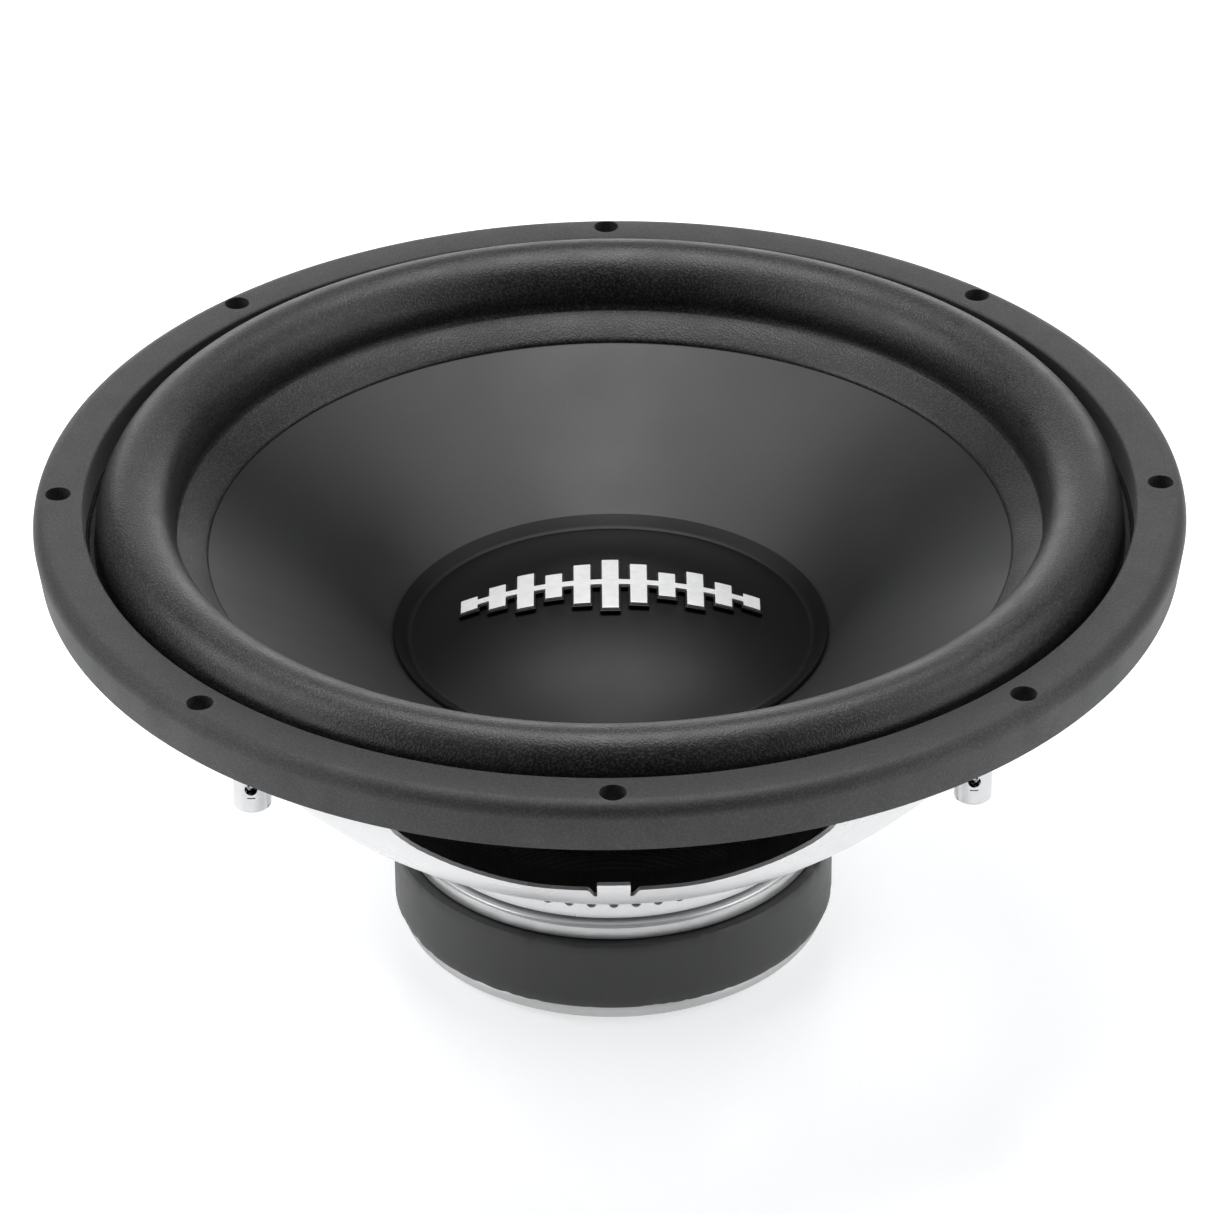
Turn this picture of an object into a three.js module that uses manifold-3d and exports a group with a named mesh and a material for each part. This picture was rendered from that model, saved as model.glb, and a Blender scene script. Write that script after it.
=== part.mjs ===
// A 12 inch car subwoofer driver, standing on its back plate with the cone facing up.
// Millimetres, +Z up. The origin is the centre of the back plate's rear face, on the driver's axis.
import * as THREE from 'three';
import { mergeVertices, toCreasedNormals } from 'three/addons/utils/BufferGeometryUtils.js';
import Module from 'manifold-3d';

const wasm = await Module();
wasm.setup();

// ---- Driving dimensions ----

const gap = 0.3; // air left between pieces that touch
const roundSteps = 32; // sides of every piece that turns about the driver's axis
const smallSteps = 16; // sides of studs, caps, screws and rivets

const boltCircleRadius = 150.5;
const boltCount = 8;
const boltHoleRadius = 3.55;

const trimTop = 136.2; // height of the trim ring's face above the back plate
const trimOuterRadius = 157.2;
const trimInnerRadius = 143.3;
const trimEdgeRadius = 4.3;
const trimBottom = 122.3;
const trimFootRadius = 155.9; // the outer wall leans in a little towards the back
const trimSkirtWall = 1.1;
const trimInnerEdge = 1.2;

const steel = 1.3; // thickness of the basket's sheet
const flangeBottom = trimBottom;
const flangeTop = flangeBottom + steel;
const flangeOuterRadius = 154.5;
const basketBore = 30.5; // hole in the basket's floor, round the voice coil

const rollCentre = [130.6, 129.9]; // radius and height of the surround's half roll
const rollRadius = 12;
const rollWall = 1.8;
const lipOuterRadius = 146.4;
const lipThickness = 1.7;
const bandInnerRadius = 110;
const bandThickness = 0.9;

const coneSlope = 0.577; // rise over run, 30 degrees
const coneRim = [117.5, 124.06]; // radius and height of the cone's upper edge
const coneNeckRadius = 26.2;
const coneWall = 1.4;

const capRadius = 60.2;
const capCreaseRadius = 55.5;
const capWall = 0.8;
const domeRise = 15;

const badgeBars = [6, 11, 17, 12, 20, 25, 20, 12, 17, 11, 6]; // bar lengths, left to right
const badgePitch = 7.8;
const badgeBarWidth = 4.6;
const badgeSpine = 2.4;
const badgeRelief = 1.7;

const coilRadius = 25.3; // inside of the coil former, a 2 inch coil
const formerWall = 0.6;
const formerBottom = 17.8;
const formerTop = 75;
const windingBottom = 18.8;
const windingTop = 40.8;
const windingWall = 1.4;

const shelfBottom = 56.3; // the basket's shelf that the spider is glued to
const shelfTop = shelfBottom + steel;
const spiderOuterRadius = 83.5;
const spiderWaves = 4;
const spiderWaveHeight = 4;
const spiderWall = 1;
const spiderFirstWave = 31; // radii between which the waves run
const spiderLastWave = 70;

const plateRadius = 59.4; // top plate
const plateBottom = 27.3;
const plateTop = 32.3;
const plateEdge = 2; // chamfer round its upper edge
const plateBore = 28.6;
const magnetRadius = 61.9;
const magnetBore = 32;
const magnetBottom = 6;
const magnetTop = plateBottom - gap;
const magnetChamfer = 0.8;
const backPlateRadius = 60.2;
const backPlateChamfer = [2.8, 2.4]; // across and up, round its rear edge
const backPlateTop = magnetBottom - gap;
const poleRadius = 24.5;
const poleTop = 33.5;
const poleSpigotRadius = 13.7;
const ventRadius = 10.5;
const ventMouthRadius = 12.4;

// Windows between the basket's spokes. Heights are above the back plate, widths are degrees round the axis.
const windowCount = 4;
const windowFoot = 75.2;
const windowTop = 112;
const windowHalfWidth = 29.5;
const windowFootHalfWidth = 10; // the flat part of the lower edge
const windowSweepHalfWidth = 18; // pulls the sweep between the flat part and the spoke's side
const windowSweepHeight = 86;
const windowSideFoot = 97; // the spoke's side is straight from here up
const windowCornerHeight = 6;
const windowCornerWidth = 4;
const tabTop = 79; // the tab in the middle of the front window's lower edge
const tabHalfWidth = 2.35;
const notchFoot = 70.2; // bottom of the notch on each side of the tab
const notchFootWidth = 0.6;
const notchMouthHalfWidth = 3.8;
const windowCutter = [88, 150]; // radii between which a window is cut

const rivetCircleRadius = 44;
const rivetCount = 4;
const rivetRadius = 1.9;
const rivetHoleRadius = 2.2;
const rivetStart = 45; // direction of the first rivet, in degrees
const rivetHeadRadius = 3.6;
const rivetHeadHeight = 2;
const rivetDepth = 2.4; // how far a rivet goes into the top plate

const postRadius = 134; // distance of a terminal's axis from the driver's axis
const postAngles = { left: -135, right: -45 };
const pushCapRadius = 5;
const pushCapBottom = 97;
const pushCapTop = 109;
const pushTravel = 3;
const wireHoleRadius = 1.7;
const wireHoleHeight = 104.5;
const studRadius = 3.2;
const pushCapFloor = 1.6; // thickness of the cap's closed end
const studBottom = pushCapBottom + 6;
const pushCapEdge = 0.8;
const springRadii = [1.3, 2.7]; // inside and outside of the cap's spring
const studHoleRadius = 1.5;
const studShankRadius = 2;
const studShankHole = 2.3;
const studHeadRadius = 3.4;
const blockBottom = 112.6;
const blockTop = flangeBottom - gap;
const blockInnerRadius = 129.4; // distances from the driver's axis
const blockOuterRadius = 143;
const blockHalfWidth = 11.5;
const blockChamfer = 1.5;
const channelHalfWidth = 5; // the channel that the solder tag lies in
const screwRadius = 137; // distance of the block's screws from the driver's axis
const screwSpread = 8.8; // and from the terminal's own middle
const screwShankRadius = 1.5;
const screwHeadRadius = 2.7;
const screwHeadHeight = 2.1;
const screwReach = 1.6; // past the flange
const screwHoleRadius = 1.8;
const tagBottom = 119.5;
const tagThickness = 0.8;
const tagHalfWidth = 4.5;
const tagTipHalfWidth = 2.5;
const tagTipRadius = 119; // distances from the driver's axis
const tagShoulderRadius = 124;
const tagEndRadius = postRadius + 2;
const tagSlotRadius = 126;
const tagSlot = [14, 10.6, 2.2]; // hole in the basket's wall that a tag passes through
const leadRadius = 1.1;
const eyeletRadius = 42; // distance of an eyelet from the driver's axis
const eyeletHoleRadius = 2.1;
const eyeletBore = 1;
const eyeletBarrelRadius = 1.8;
const eyeletFlangeRadius = 3;
const eyeletFlangeThickness = 0.6;

// ---- Helpers ----

const degrees = (value) => (value * Math.PI) / 180;

// A closed outline of [radius, height] points, turned about the Z axis.
function turned(outline, steps = roundSteps) {
  const points = outline.map(([radius, height]) => new THREE.Vector2(radius, height));
  points.push(points[0].clone());
  return new THREE.LatheGeometry(points, steps).rotateX(Math.PI / 2);
}

// A round bar along Z, from its profile of [radius, height] points that starts and ends on the axis.
function turnedBar(profile, steps = smallSteps) {
  const points = profile.map(([radius, height]) => new THREE.Vector2(radius, height));
  return new THREE.LatheGeometry(points, steps).rotateX(Math.PI / 2);
}

// Points of an arc about a centre, from one angle to another, both in degrees.
function arc([radius, height], size, from, to, steps) {
  const points = [];
  for (let i = 0; i <= steps; i += 1) {
    const angle = degrees(from + ((to - from) * i) / steps);
    points.push([radius + size * Math.cos(angle), height + size * Math.sin(angle)]);
  }
  return points;
}

// The closed outline of a sheet of even thickness, given the outline of its lower or outer face.
function sheetOutline(face, thickness) {
  const back = face.map((point, i) => {
    const before = face[Math.max(i - 1, 0)];
    const after = face[Math.min(i + 1, face.length - 1)];
    const into = new THREE.Vector2(point[0] - before[0], point[1] - before[1]).normalize();
    const out = new THREE.Vector2(after[0] - point[0], after[1] - point[1]).normalize();
    if (i === 0) into.copy(out);
    if (i === face.length - 1) out.copy(into);
    const normal = new THREE.Vector2(-into.y - out.y, into.x + out.x).normalize();
    const stretch = thickness / Math.abs(normal.x * -into.y + normal.y * into.x);
    return [point[0] + normal.x * stretch, point[1] + normal.y * stretch];
  });
  return [...face, ...back.reverse()];
}

function toSolid(geometry) {
  const bare = geometry.clone();
  bare.deleteAttribute('normal');
  bare.deleteAttribute('uv');
  const merged = mergeVertices(bare, 1e-4);
  const mesh = new wasm.Mesh({
    numProp: 3,
    vertProperties: new Float32Array(merged.attributes.position.array),
    triVerts: new Uint32Array(merged.index.array),
  });
  return new wasm.Manifold(mesh);
}

function toGeometry(solid) {
  const mesh = solid.getMesh();
  const geometry = new THREE.BufferGeometry();
  geometry.setAttribute('position', new THREE.BufferAttribute(mesh.vertProperties, 3));
  geometry.setIndex(new THREE.BufferAttribute(mesh.triVerts, 1));
  return geometry;
}

// One geometry less a list of others.
function cut(geometry, cutters) {
  let solid = toSolid(geometry);
  for (const cutter of cutters) solid = solid.subtract(toSolid(cutter));
  return toGeometry(solid);
}

function join(geometries) {
  let solid = toSolid(geometries[0]);
  for (const geometry of geometries.slice(1)) solid = solid.add(toSolid(geometry));
  return toGeometry(solid);
}

// An upright round cutter between two heights.
function drill(x, y, radius, from, to, steps = smallSteps) {
  const geometry = new THREE.CylinderGeometry(radius, radius, to - from, steps);
  return geometry.rotateX(Math.PI / 2).translate(x, y, (from + to) / 2);
}

function onCircle(radius, angle) {
  return [radius * Math.cos(degrees(angle)), radius * Math.sin(degrees(angle))];
}

// An extruded outline bent round the axis: x becomes the angle, y the height and z the radius.
function wrapped(shape, angle, innerRadius, outerRadius) {
  const settings = { depth: outerRadius - innerRadius, bevelEnabled: false, curveSegments: 5 };
  const geometry = new THREE.ExtrudeGeometry(shape, settings);
  const position = geometry.attributes.position;
  for (let i = 0; i < position.count; i += 1) {
    const turn = degrees(angle + position.getX(i));
    const radius = innerRadius + position.getZ(i);
    const height = position.getY(i);
    position.setXYZ(i, radius * Math.cos(turn), radius * Math.sin(turn), height);
  }
  return geometry;
}

const finishes = {
  rubberBlack: { color: 0x3a3b3d, roughness: 0.75, metalness: 0 },
  foamBlack: { color: 0x2e2f31, roughness: 0.8, metalness: 0 },
  coneBlack: { color: 0x242527, roughness: 0.45, metalness: 0 },
  capBlack: { color: 0x18191a, roughness: 0.4, metalness: 0 },
  silver: { color: 0xdadcde, roughness: 0.25, metalness: 1 },
  steelBright: { color: 0xe4e6e8, roughness: 0.25, metalness: 1 },
  zinc: { color: 0xc4c6c8, roughness: 0.35, metalness: 1 },
  ferrite: { color: 0x4a4b4d, roughness: 0.6, metalness: 0.1 },
  softIron: { color: 0x9a9c9e, roughness: 0.45, metalness: 1 },
  spiderCloth: { color: 0x1f1d1b, roughness: 0.95, metalness: 0 },
  kapton: { color: 0x6b3a12, roughness: 0.4, metalness: 0 },
  copper: { color: 0xb4622f, roughness: 0.35, metalness: 1 },
  chrome: { color: 0xf0f2f4, roughness: 0.08, metalness: 1 },
  plasticBlack: { color: 0x191a1b, roughness: 0.55, metalness: 0 },
  brass: { color: 0xc9a24b, roughness: 0.35, metalness: 1 },
  springSteel: { color: 0x8d9094, roughness: 0.35, metalness: 1 },
  braid: { color: 0xb9bcbf, roughness: 0.5, metalness: 1 },
};

const driver = new THREE.Group();

function addPiece(name, geometry, finish, parent = driver) {
  const shaded = toCreasedNormals(geometry, degrees(30));
  const mesh = new THREE.Mesh(shaded, new THREE.MeshStandardMaterial(finishes[finish]));
  mesh.name = name;
  parent.add(mesh);
  return mesh;
}

// ---- Trim ring and basket ----

// The ring hides the flange: its underside steps up over the flange and, further in, over the surround's lip.
function makeTrimRing() {
  const edgeCentre = [trimOuterRadius - trimEdgeRadius, trimTop - trimEdgeRadius];
  const lipRoof = flangeTop + gap + lipThickness + gap;
  const lipClear = lipOuterRadius + 0.4;
  const outline = [
    [trimFootRadius - trimSkirtWall, trimBottom],
    [trimFootRadius, trimBottom],
    ...arc(edgeCentre, trimEdgeRadius, 0, 90, 3),
    [trimInnerRadius + trimInnerEdge, trimTop],
    [trimInnerRadius, trimTop - trimInnerEdge],
    [trimInnerRadius, lipRoof],
    [lipClear, lipRoof],
    [lipClear, flangeTop + gap],
    [trimFootRadius - trimSkirtWall, flangeTop + gap],
  ];
  const holes = [];
  for (let i = 0; i < boltCount; i += 1) {
    const [x, y] = onCircle(boltCircleRadius, (i * 360) / boltCount);
    holes.push(drill(x, y, boltHoleRadius, trimBottom, trimTop + 1));
  }
  addPiece('trim_ring', cut(turned(outline), holes), 'rubberBlack');
}

// The right half of the tab and of its notch, from the tab's corner out to the window's lower edge.
const tabEdge = [
  [tabHalfWidth, tabTop],
  [tabHalfWidth, notchFoot],
  [tabHalfWidth + notchFootWidth, notchFoot],
  [notchMouthHalfWidth, windowFoot],
];

// A window's lower edge is flat in the middle, with or without the tab, and sweeps up into the spokes.
function windowShape(withTab) {
  const side = windowHalfWidth;
  const sweep = windowSweepHalfWidth;
  const flat = windowFootHalfWidth;
  const shape = new THREE.Shape();
  shape.moveTo(-flat, windowFoot);
  if (withTab) {
    for (const [x, y] of [...tabEdge].reverse()) shape.lineTo(-x, y);
    for (const [x, y] of tabEdge) shape.lineTo(x, y);
  }
  shape.lineTo(flat, windowFoot);
  shape.bezierCurveTo(sweep, windowFoot, side, windowSweepHeight, side, windowSideFoot);
  shape.lineTo(side, windowTop - windowCornerHeight);
  shape.quadraticCurveTo(side, windowTop, side - windowCornerWidth, windowTop);
  shape.lineTo(windowCornerWidth - side, windowTop);
  shape.quadraticCurveTo(-side, windowTop, -side, windowTop - windowCornerHeight);
  shape.lineTo(-side, windowSideFoot);
  shape.bezierCurveTo(-side, windowSweepHeight, -sweep, windowFoot, -flat, windowFoot);
  return shape;
}

function makeBasket() {
  const outerFace = [
    [basketBore, plateTop + gap],
    [55.6, plateTop + gap],
    [58.4, 35],
    [59.4, 43],
    [66, shelfBottom],
    [84.8, shelfBottom],
    [91.7, 61.6],
    [106.1, 76],
    [118.5, 92],
    [124.5, 106],
    [127.6, flangeBottom],
    [flangeOuterRadius, flangeBottom],
  ];
  const cutters = [];
  for (let i = 0; i < windowCount; i += 1) {
    cutters.push(wrapped(windowShape(i === 0), -90 + (i * 360) / windowCount, ...windowCutter));
  }
  for (let i = 0; i < boltCount; i += 1) {
    const [x, y] = onCircle(boltCircleRadius, (i * 360) / boltCount);
    cutters.push(drill(x, y, boltHoleRadius, flangeBottom - 1, flangeTop + 1));
  }
  for (let i = 0; i < rivetCount; i += 1) {
    const [x, y] = onCircle(rivetCircleRadius, rivetStart + (i * 360) / rivetCount);
    cutters.push(drill(x, y, rivetHoleRadius, plateTop - 1, plateTop + gap + steel + 1));
  }
  for (const angle of Object.values(postAngles)) {
    const slot = new THREE.BoxGeometry(...tagSlot);
    cutters.push(slot.translate(tagSlotRadius, 0, tagBottom + 0.5).rotateZ(degrees(angle)));
    for (const side of [-1, 1]) {
      const hole = drill(screwRadius, side * screwSpread, screwHoleRadius, flangeBottom - 1, flangeTop + 1);
      cutters.push(hole.rotateZ(degrees(angle)));
    }
  }
  addPiece('basket', cut(turned(sheetOutline(outerFace, steel)), cutters), 'steelBright');
}

// ---- Cone, surround, dust cap and badge ----

const coneTopAt = (radius) => coneRim[1] + (radius - coneRim[0]) * coneSlope;
const coneDrop = coneWall * Math.hypot(1, coneSlope); // height between the cone's two faces

function makeSurround() {
  const lipBottom = flangeTop + gap;
  const bandBottom = (radius) => coneTopAt(radius) + gap;
  const outerArc = arc(rollCentre, rollRadius, 0, 198, 7);
  const innerArc = arc(rollCentre, rollRadius - rollWall, 198, 0, 6);
  const outline = [
    [lipOuterRadius, lipBottom],
    [lipOuterRadius, lipBottom + lipThickness],
    [rollCentre[0] + rollRadius, lipBottom + lipThickness],
    ...outerArc,
    [bandInnerRadius, bandBottom(bandInnerRadius) + bandThickness],
    [bandInnerRadius, bandBottom(bandInnerRadius)],
    [coneRim[0] + 0.6, bandBottom(coneRim[0] + 0.6)],
    ...innerArc,
    [rollCentre[0] + rollRadius - rollWall, lipBottom],
  ];
  addPiece('surround', turned(outline), 'foamBlack');
}

function makeCone() {
  const outline = [
    [coneNeckRadius, coneTopAt(coneNeckRadius) - coneDrop],
    [coneRim[0], coneRim[1] - coneDrop],
    coneRim,
    [coneNeckRadius, coneTopAt(coneNeckRadius)],
  ];
  const holes = Object.values(postAngles).map((angle) => placedOnCone(drill(0, 0, eyeletHoleRadius, -3, 3, 12), angle));
  addPiece('cone', cut(turned(outline), holes), 'coneBlack');
}

// The cap's dome, as a shell between two distances outside its own outer face.
const domeFoot = coneTopAt(capCreaseRadius) + gap + capWall;
const domeRadius = (capCreaseRadius ** 2 + domeRise ** 2) / (2 * domeRise);
const domeCentre = domeFoot + domeRise - domeRadius;
const domeEdgeAngle = Math.acos(capCreaseRadius / domeRadius) * (180 / Math.PI);

function domeArc(offset, steps = 5) {
  return arc([0, domeCentre], domeRadius + offset, domeEdgeAngle, 90, steps);
}

function makeDustCap() {
  const flangeUnder = (radius) => coneTopAt(radius) + gap;
  const profile = [
    ...domeArc(-capWall).reverse(),
    [capCreaseRadius, flangeUnder(capCreaseRadius)],
    [capRadius, flangeUnder(capRadius)],
    [capRadius, flangeUnder(capRadius) + capWall],
    ...domeArc(0),
  ];
  profile[0][0] = 0;
  profile[profile.length - 1][0] = 0;
  addPiece('dust_cap', turnedBar(profile, roundSteps), 'capBlack');
}

// A plain emblem: a row of level bars on a thin spine, standing proud of the dome.
function makeBadge() {
  const half = (badgeBars.length - 1) / 2;
  const bars = badgeBars.map((length, i) => {
    const bar = new THREE.BoxGeometry(badgeBarWidth, length, 60);
    return bar.translate((i - half) * badgePitch, 0, domeFoot + domeRise);
  });
  const spine = new THREE.BoxGeometry(2 * half * badgePitch, badgeSpine, 60);
  bars.push(spine.translate(0, 0, domeFoot + domeRise));
  const shellProfile = [...domeArc(gap).reverse(), ...domeArc(gap + badgeRelief)];
  shellProfile[0][0] = 0;
  shellProfile[shellProfile.length - 1][0] = 0;
  const shell = toSolid(turnedBar(shellProfile, roundSteps));
  addPiece('badge', toGeometry(shell.intersect(toSolid(join(bars)))), 'silver');
}

// ---- Voice coil and spider ----

function tube(innerRadius, outerRadius, from, to, steps = roundSteps) {
  const outline = [
    [innerRadius, from],
    [outerRadius, from],
    [outerRadius, to],
    [innerRadius, to],
  ];
  return turned(outline, steps);
}

function makeVoiceCoil() {
  const formerOuter = coilRadius + formerWall;
  const windingInner = formerOuter + gap;
  addPiece('coil_former', tube(coilRadius, formerOuter, formerBottom, formerTop), 'kapton');
  const winding = tube(windingInner, windingInner + windingWall, windingBottom, windingTop);
  addPiece('coil_winding', winding, 'copper');
}

// The spider is flat at its neck and at its rim, with even waves between.
function makeSpider() {
  const restHeight = shelfTop + gap;
  const pitch = (spiderLastWave - spiderFirstWave) / (2 * spiderWaves);
  const under = [[coilRadius + formerWall + gap, restHeight]];
  for (let i = 0; i <= 2 * spiderWaves; i += 1) {
    const lift = i % 2 === 0 ? 0 : spiderWaveHeight;
    under.push([spiderFirstWave + i * pitch, restHeight + lift]);
  }
  under.push([spiderOuterRadius, restHeight]);
  addPiece('spider', turned(sheetOutline(under, spiderWall)), 'spiderCloth');
}

// ---- Motor ----

function makeMotor() {
  const topPlate = [
    [plateBore, plateBottom],
    [plateRadius, plateBottom],
    [plateRadius, plateTop - plateEdge / 2],
    [plateRadius - plateEdge, plateTop],
    [plateBore, plateTop],
  ];
  const rivetHoles = [];
  for (let i = 0; i < rivetCount; i += 1) {
    const [x, y] = onCircle(rivetCircleRadius, rivetStart + (i * 360) / rivetCount);
    rivetHoles.push(drill(x, y, rivetHoleRadius, plateTop - rivetDepth - 0.4, plateTop + 1));
  }
  addPiece('top_plate', cut(turned(topPlate), rivetHoles), 'zinc');

  const magnet = [
    [magnetBore, magnetBottom],
    [magnetRadius - magnetChamfer, magnetBottom],
    [magnetRadius, magnetBottom + magnetChamfer],
    [magnetRadius, magnetTop - magnetChamfer],
    [magnetRadius - magnetChamfer, magnetTop],
    [magnetBore, magnetTop],
  ];
  addPiece('magnet_ring', turned(magnet), 'ferrite');

  const backPlate = [
    [poleSpigotRadius + gap, 0],
    [backPlateRadius - backPlateChamfer[0], 0],
    [backPlateRadius, backPlateChamfer[1]],
    [backPlateRadius, backPlateTop - 0.6],
    [backPlateRadius - 0.6, backPlateTop],
    [poleSpigotRadius + gap, backPlateTop],
  ];
  addPiece('back_plate', turned(backPlate), 'zinc');

  const pole = [
    [ventMouthRadius, gap],
    [poleSpigotRadius, gap],
    [poleSpigotRadius, magnetBottom],
    [poleRadius, magnetBottom],
    [poleRadius, poleTop - 1],
    [poleRadius - 1, poleTop],
    [ventRadius, poleTop],
    [ventRadius, 4],
  ];
  addPiece('pole_piece', turned(pole), 'softIron');
}

function makeRivets() {
  const floorTop = plateTop + gap + steel;
  const profile = [
    [0, plateTop - rivetDepth],
    [rivetRadius, plateTop - rivetDepth],
    [rivetRadius, floorTop + gap],
    [rivetHeadRadius, floorTop + gap],
    [rivetHeadRadius - 0.2, floorTop + rivetHeadHeight - 0.6],
    [0, floorTop + rivetHeadHeight],
  ];
  for (let i = 0; i < rivetCount; i += 1) {
    const [x, y] = onCircle(rivetCircleRadius, rivetStart + (i * 360) / rivetCount);
    const rivet = addPiece(`rivet_${i + 1}`, turnedBar(profile, 12), 'zinc');
    rivet.position.set(x, y, 0);
  }
}

// ---- Terminals and leads ----
// Each terminal is modelled along +X from the driver's axis, and its group is turned to its place.

function terminalBlock() {
  const section = new THREE.Shape();
  section.moveTo(-blockHalfWidth, blockBottom + blockChamfer);
  section.lineTo(blockChamfer - blockHalfWidth, blockBottom);
  section.lineTo(blockHalfWidth - blockChamfer, blockBottom);
  section.lineTo(blockHalfWidth, blockBottom + blockChamfer);
  section.lineTo(blockHalfWidth, blockTop);
  section.lineTo(channelHalfWidth, blockTop);
  section.lineTo(channelHalfWidth, tagBottom - gap);
  section.lineTo(-channelHalfWidth, tagBottom - gap);
  section.lineTo(-channelHalfWidth, blockTop);
  section.lineTo(-blockHalfWidth, blockTop);
  section.closePath();
  const settings = { depth: blockOuterRadius - blockInnerRadius, bevelEnabled: false };
  const body = new THREE.ExtrudeGeometry(section, settings);
  body.rotateX(Math.PI / 2).rotateZ(Math.PI / 2).translate(blockInnerRadius, 0, 0);
  const holes = [drill(postRadius, 0, studShankHole, blockBottom - 1, blockTop)];
  for (const side of [-1, 1]) {
    holes.push(drill(screwRadius, side * screwSpread, screwHoleRadius, blockBottom - 1, blockTop + 1));
  }
  return cut(body, holes);
}

// A wire hole runs across the driver, from front to back, whatever way the terminal faces.
function wireHole(radius, height, angle) {
  const hole = new THREE.CylinderGeometry(radius, radius, 20, 12);
  return hole.rotateZ(degrees(-angle)).translate(postRadius, 0, height);
}

function terminalStud(angle) {
  const headBottom = tagBottom + tagThickness + gap;
  const headTop = blockTop - 0.4;
  const profile = [
    [0, studBottom],
    [studRadius, studBottom],
    [studRadius, blockBottom - gap],
    [studShankRadius, blockBottom - gap],
    [studShankRadius, headBottom],
    [studHeadRadius, headBottom],
    [studHeadRadius - 0.3, headTop],
    [0, headTop],
  ];
  const stud = turnedBar(profile).translate(postRadius, 0, 0);
  return cut(stud, [wireHole(studHoleRadius, wireHoleHeight + pushTravel, angle)]);
}

// A cup that slides on the stud. A wire goes through when it is pushed up and the two holes line up.
function pushCap(angle) {
  const bore = studRadius + gap;
  const profile = [
    [0, pushCapBottom],
    [pushCapRadius - pushCapEdge, pushCapBottom],
    [pushCapRadius, pushCapBottom + pushCapEdge],
    [pushCapRadius, pushCapTop],
    [bore, pushCapTop],
    [bore, pushCapBottom + pushCapFloor],
    [0, pushCapBottom + pushCapFloor],
  ];
  const cap = turnedBar(profile).translate(postRadius, 0, 0);
  return cut(cap, [wireHole(wireHoleRadius, wireHoleHeight, angle)]);
}

function solderTag() {
  const plate = new THREE.Shape();
  plate.moveTo(tagTipRadius, -tagTipHalfWidth);
  plate.lineTo(tagShoulderRadius, -tagHalfWidth);
  plate.lineTo(tagEndRadius, -tagHalfWidth);
  plate.absarc(tagEndRadius, 0, tagHalfWidth, -Math.PI / 2, Math.PI / 2, false);
  plate.lineTo(tagShoulderRadius, tagHalfWidth);
  plate.lineTo(tagTipRadius, tagTipHalfWidth);
  plate.closePath();
  const settings = { depth: tagThickness, bevelEnabled: false, curveSegments: 6 };
  const tag = new THREE.ExtrudeGeometry(plate, settings).translate(0, 0, tagBottom);
  return cut(tag, [drill(postRadius, 0, studShankHole, tagBottom - 1, tagBottom + 2)]);
}

function blockScrew(side) {
  const profile = [
    [0, blockBottom - screwHeadHeight],
    [screwHeadRadius - 0.5, blockBottom - screwHeadHeight],
    [screwHeadRadius, blockBottom - screwHeadHeight + 0.6],
    [screwHeadRadius, blockBottom - gap],
    [screwShankRadius, blockBottom - gap],
    [screwShankRadius, flangeTop + screwReach],
    [0, flangeTop + screwReach],
  ];
  return turnedBar(profile, 12).translate(screwRadius, side * screwSpread, 0);
}

// Stands a piece, made about its own Z axis, square on the cone where a lead comes through.
function placedOnCone(geometry, angle) {
  const middle = coneTopAt(eyeletRadius) - coneDrop / 2;
  const placed = geometry.rotateY(-Math.atan(coneSlope)).translate(eyeletRadius, 0, middle);
  return placed.rotateZ(degrees(angle));
}

function leadEyelet() {
  const half = coneWall / 2 + gap;
  const outline = [
    [eyeletBore, -half - eyeletFlangeThickness],
    [eyeletFlangeRadius, -half - eyeletFlangeThickness],
    [eyeletFlangeRadius, -half],
    [eyeletBarrelRadius, -half],
    [eyeletBarrelRadius, half],
    [eyeletFlangeRadius, half],
    [eyeletFlangeRadius, half + eyeletFlangeThickness],
    [eyeletBore, half + eyeletFlangeThickness],
  ];
  return turned(outline, 12);
}

// The braid hangs in a loose bow from the tag to the eyelet, with length to spare for the cone's travel.
function tinselLead() {
  const route = [
    [121.2, tagBottom - gap],
    [119.8, 113],
    [114, 104.5],
    [103, 96.5],
    [90, 89],
    [76, 81],
    [62, 74.5],
    [51, 72.2],
    [45.4, 74],
    [43.1, 78],
  ];
  const curve = new THREE.CatmullRomCurve3(route.map(([radius, height]) => new THREE.Vector3(radius, 0, height)));
  const section = new THREE.Shape();
  section.absarc(0, 0, leadRadius, 0, 2 * Math.PI, false);
  return new THREE.ExtrudeGeometry(section, { steps: 22, extrudePath: curve, curveSegments: 4 });
}

function makeTerminal(name, angle) {
  const place = new THREE.Group();
  place.rotation.z = degrees(angle);
  driver.add(place);
  const spring = tube(...springRadii, pushCapBottom + pushCapFloor + gap, studBottom - gap, 12);
  addPiece(`terminal_block_${name}`, terminalBlock(), 'plasticBlack', place);
  addPiece(`terminal_stud_${name}`, terminalStud(angle), 'chrome', place);
  addPiece(`push_cap_${name}`, pushCap(angle), 'chrome', place);
  addPiece(`cap_spring_${name}`, spring.translate(postRadius, 0, 0), 'springSteel', place);
  addPiece(`solder_tag_${name}`, solderTag(), 'brass', place);
  addPiece(`block_screw_${name}_1`, blockScrew(-1), 'zinc', place);
  addPiece(`block_screw_${name}_2`, blockScrew(1), 'zinc', place);
  addPiece(`tinsel_lead_${name}`, tinselLead(), 'braid', place);
  addPiece(`lead_eyelet_${name}`, placedOnCone(leadEyelet(), 0), 'brass', place);
}

makeTrimRing();
makeBasket();
makeSurround();
makeCone();
makeDustCap();
makeBadge();
makeVoiceCoil();
makeSpider();
makeMotor();
makeRivets();
for (const [name, angle] of Object.entries(postAngles)) makeTerminal(name, angle);

export default driver;
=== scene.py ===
import math
import random

import bpy
from mathutils import Matrix, Vector


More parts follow.
